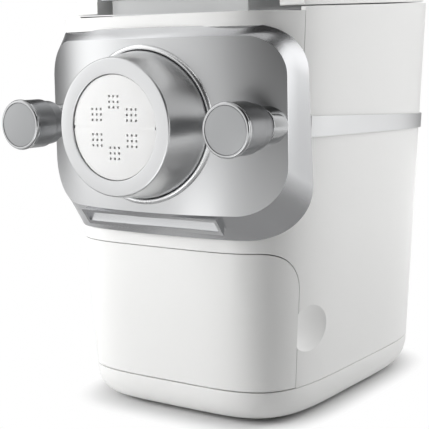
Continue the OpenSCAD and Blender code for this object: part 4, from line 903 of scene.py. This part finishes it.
# A pale floor that fades into the white; for the camera it fades round the footprint, by (|x/a|^4 + |y/b|^4)^(1/4)
def makeFloor():
    h = studio["floorHalf"]
    floor = addPiece("floor", [(-h, -h, 0), (h, -h, 0), (h, h, 0), (-h, h, 0)], [(0, 1, 2, 3)])
    tree = stageTree(floor)
    place = addNode(tree, "TexCoord").outputs["Object"]
    away = addNode(tree, "VectorMath", {0: place}, operation="LENGTH").outputs["Value"]
    far = addRange(tree, away, studio["fadeStart"], studio["fadeEnd"], kind="SMOOTHSTEP")
    path = addNode(tree, "LightPath").outputs
    mirrored = addMath(tree, "MAXIMUM", path["Is Glossy Ray"], path["Is Transmission Ray"])
    mirrored = addMath(tree, "MULTIPLY", mirrored, far)
    x, y, middle = studio["footprint"]
    shifted = addNode(tree, "Mapping", {"Vector": place, "Location": (0, -middle / y, 0), "Scale": (1 / x, 1 / y, 0)})
    sides = addNode(tree, "SeparateXYZ", {0: shifted}).outputs
    fourth = [addMath(tree, "POWER", addMath(tree, "ABSOLUTE", sides[k]), 4.0) for k in ("X", "Y")]
    outside = addMath(tree, "POWER", addMath(tree, "ADD", *fourth), 0.25)
    near = addRange(tree, outside, studio["nearStart"], studio["nearEnd"], kind="SMOOTHSTEP")
    share = addMath(tree, "MAXIMUM", mirrored, addMath(tree, "MULTIPLY", path["Is Camera Ray"], near))
    paint = addNode(tree, "BsdfDiffuse", {"Color": (*[studio["floorColour"]] * 3, 1)})
    white = addNode(tree, "Emission", {"Strength": 1})
    mix = addNode(tree, "MixShader", {0: share, 1: paint, 2: white})
    addNode(tree, "OutputMaterial", {"Surface": mix})


# azimuth is 0 in front of the machine and 90 at its right; mirrors see the walls instead of the lamps
softboxes = {
    "key": {"azimuth": -46, "height": 12, "distance": 1.05, "size": (0.65, 1.0), "radiance": 6.3},
    "side": {"azimuth": 140, "height": 12, "distance": 0.85, "size": (0.45, 1.0), "radiance": 4.3},
    "top": {"azimuth": 118, "height": 70, "distance": 1.4, "size": (0.9, 0.9), "radiance": 1.0},
}


def hangSoftbox(name, box):
    data = bpy.data.lights.new(name, "AREA")
    data.shape, (data.size, data.size_y) = "RECTANGLE", box["size"]
    data.energy = box["radiance"] * math.pi * data.size * data.size_y
    lamp = bpy.data.objects.new(name, data)
    a, e = math.radians(box["azimuth"]), math.radians(box["height"])
    away = Vector((math.sin(a) * math.cos(e), -math.cos(a) * math.cos(e), math.sin(e)))
    lamp.location = Vector((0, 0, studio["middle"])) + away * box["distance"]
    lamp.rotation_euler = away.to_track_quat("Z", "Y").to_euler()
    lamp.visible_glossy = False
    bpy.context.collection.objects.link(lamp)


# tones are the brightness of the wall at each azimuth
walls = {"radius": 1.5, "high": 2.2, "step": 2,
         "tones": [(-180, 0.25), (-160, 0.35), (-130, 0.4), (-100, 0.12), (-83, 0.14), (-77, 0.95), (-72, 1.8),
                   (-60, 1.95), (-48, 1.4), (-38, 1.15), (-20, 1.05), (-9, 0.85), (1, 0.62), (9, 0.26), (17, 0.09),
                   (28, 0.06), (54, 0.08), (66, 0.9), (81, 2.2), (92, 1.0), (104, 0.6), (125, 0.6), (143, 1.35),
                   (152, 1.1), (162, 0.3), (180, 0.25)]}
# sheets that mirrors see: first and last azimuth, points, radius and height of both edges, brightness
sheets = {"hood_front": (-20, 20, 33, (1.2, 0.62), (1.2, 1.1), 0.27),
          "hood_right": (20, 70, 33, (1.2, 0.5), (1.2, 1.9), 0.05),
          "hood_left": (-135, -65, 33, (1.2, 1.25), (1.2, 2.2), 1.05),
          "hood_back": (140, 235, 33, (1.2, 0.55), (1.2, 1.9), 0.06),
          "patch_front": (-14, 2, 25, (0.35, 0.001), (0.94, 0.001), 2.8),
          "patch_dim": (-60, 100, 25, (0.13, 0.001), (0.32, 0.001), 0.36),
          "patch_over": (-180, 180, 25, (0.01, 2.1), (1.1, 2.1), 0.55)}
# a small dark card near the plate, which the side of the dial sees by way of the plate: a painted dark reflection that
# stands in for shade on the right side of the dial ring
card = {"at": (123, -139, 254), "towards": (60, -95, 190), "half": 46, "radiance": 0.03}


def showToMirrors(piece, tree, strength, colour=whole):
    cloth = addNode(tree, "Emission", {"Color": colour, "Strength": strength})
    addNode(tree, "OutputMaterial", {"Surface": cloth})
    piece.visible_camera = piece.visible_diffuse = piece.visible_shadow = piece.visible_transmission = False


# Band between two circles about the machine, in metres: r sin t, -r cos t, height
def arcPiece(name, degrees, edges, closed=False):
    t = np.radians(degrees)
    rows = [np.stack([np.sin(t) * r, -np.cos(t) * r, np.full(len(t), z)], -1) / mm for r, z in edges]
    faces = gridFaces(2, len(t), False)
    return addPiece(name, rows, faces if closed else faces[:-1])


def makeWalls():
    w = walls
    edges = [(w["radius"], z) for z in (0, w["high"])]
    wallPiece = arcPiece("studio_wall", np.arange(-180, 180, w["step"]), edges, closed=True)
    tree = stageTree(wallPiece)
    place = addNode(tree, "SeparateXYZ", {0: addNode(tree, "TexCoord").outputs["Object"]}).outputs
    azimuth = addMath(tree, "ARCTAN2", place["X"], addMath(tree, "MULTIPLY", place["Y"], -1.0))
    ramp = addNode(tree, "ValToRGB", {"Fac": addRange(tree, azimuth, -math.pi, math.pi)})
    peak = max(tone for _, tone in w["tones"])
    stops = ramp.color_ramp.elements
    while len(stops) > 1:
        stops.remove(stops[-1])
    for k, (angle, tone) in enumerate(w["tones"]):
        stop = stops[0] if k == 0 else stops.new((angle + 180) / 360)
        stop.position, stop.color = (angle + 180) / 360, (*[tone / peak] * 3, 1)
    showToMirrors(wallPiece, tree, peak, ramp.outputs["Color"])


def hangSheet(name, start, end, count, lower, upper, radiance):
    sheet = arcPiece("studio_" + name, np.linspace(start, end, count), (lower, upper))
    showToMirrors(sheet, stageTree(sheet), radiance)


# Hangs the dark card that only mirrors see; it paints a dark reflection on the side of the dial ring
def hangCard(c):
    away = (Vector(c["at"]) - Vector(c["towards"])).normalized()
    across = away.cross(Vector((0, 0, 1))).normalized() * c["half"]
    up = across.cross(away)
    corners = [Vector(c["at"]) + across * i + up * j for i, j in ((-1, -1), (1, -1), (1, 1), (-1, 1))]
    piece = addPiece("studio_dark_reflection_card", corners, [(0, 1, 2, 3)])
    showToMirrors(piece, stageTree(piece), c["radiance"])


makeWorld()
makeFloor()
for name, box in softboxes.items():
    hangSoftbox(name, box)
makeWalls()
for name, sheet in sheets.items():
    hangSheet(name, *sheet)
hangCard(card)
bpy.context.scene.view_settings.view_transform = "Standard"
print("studio ready")
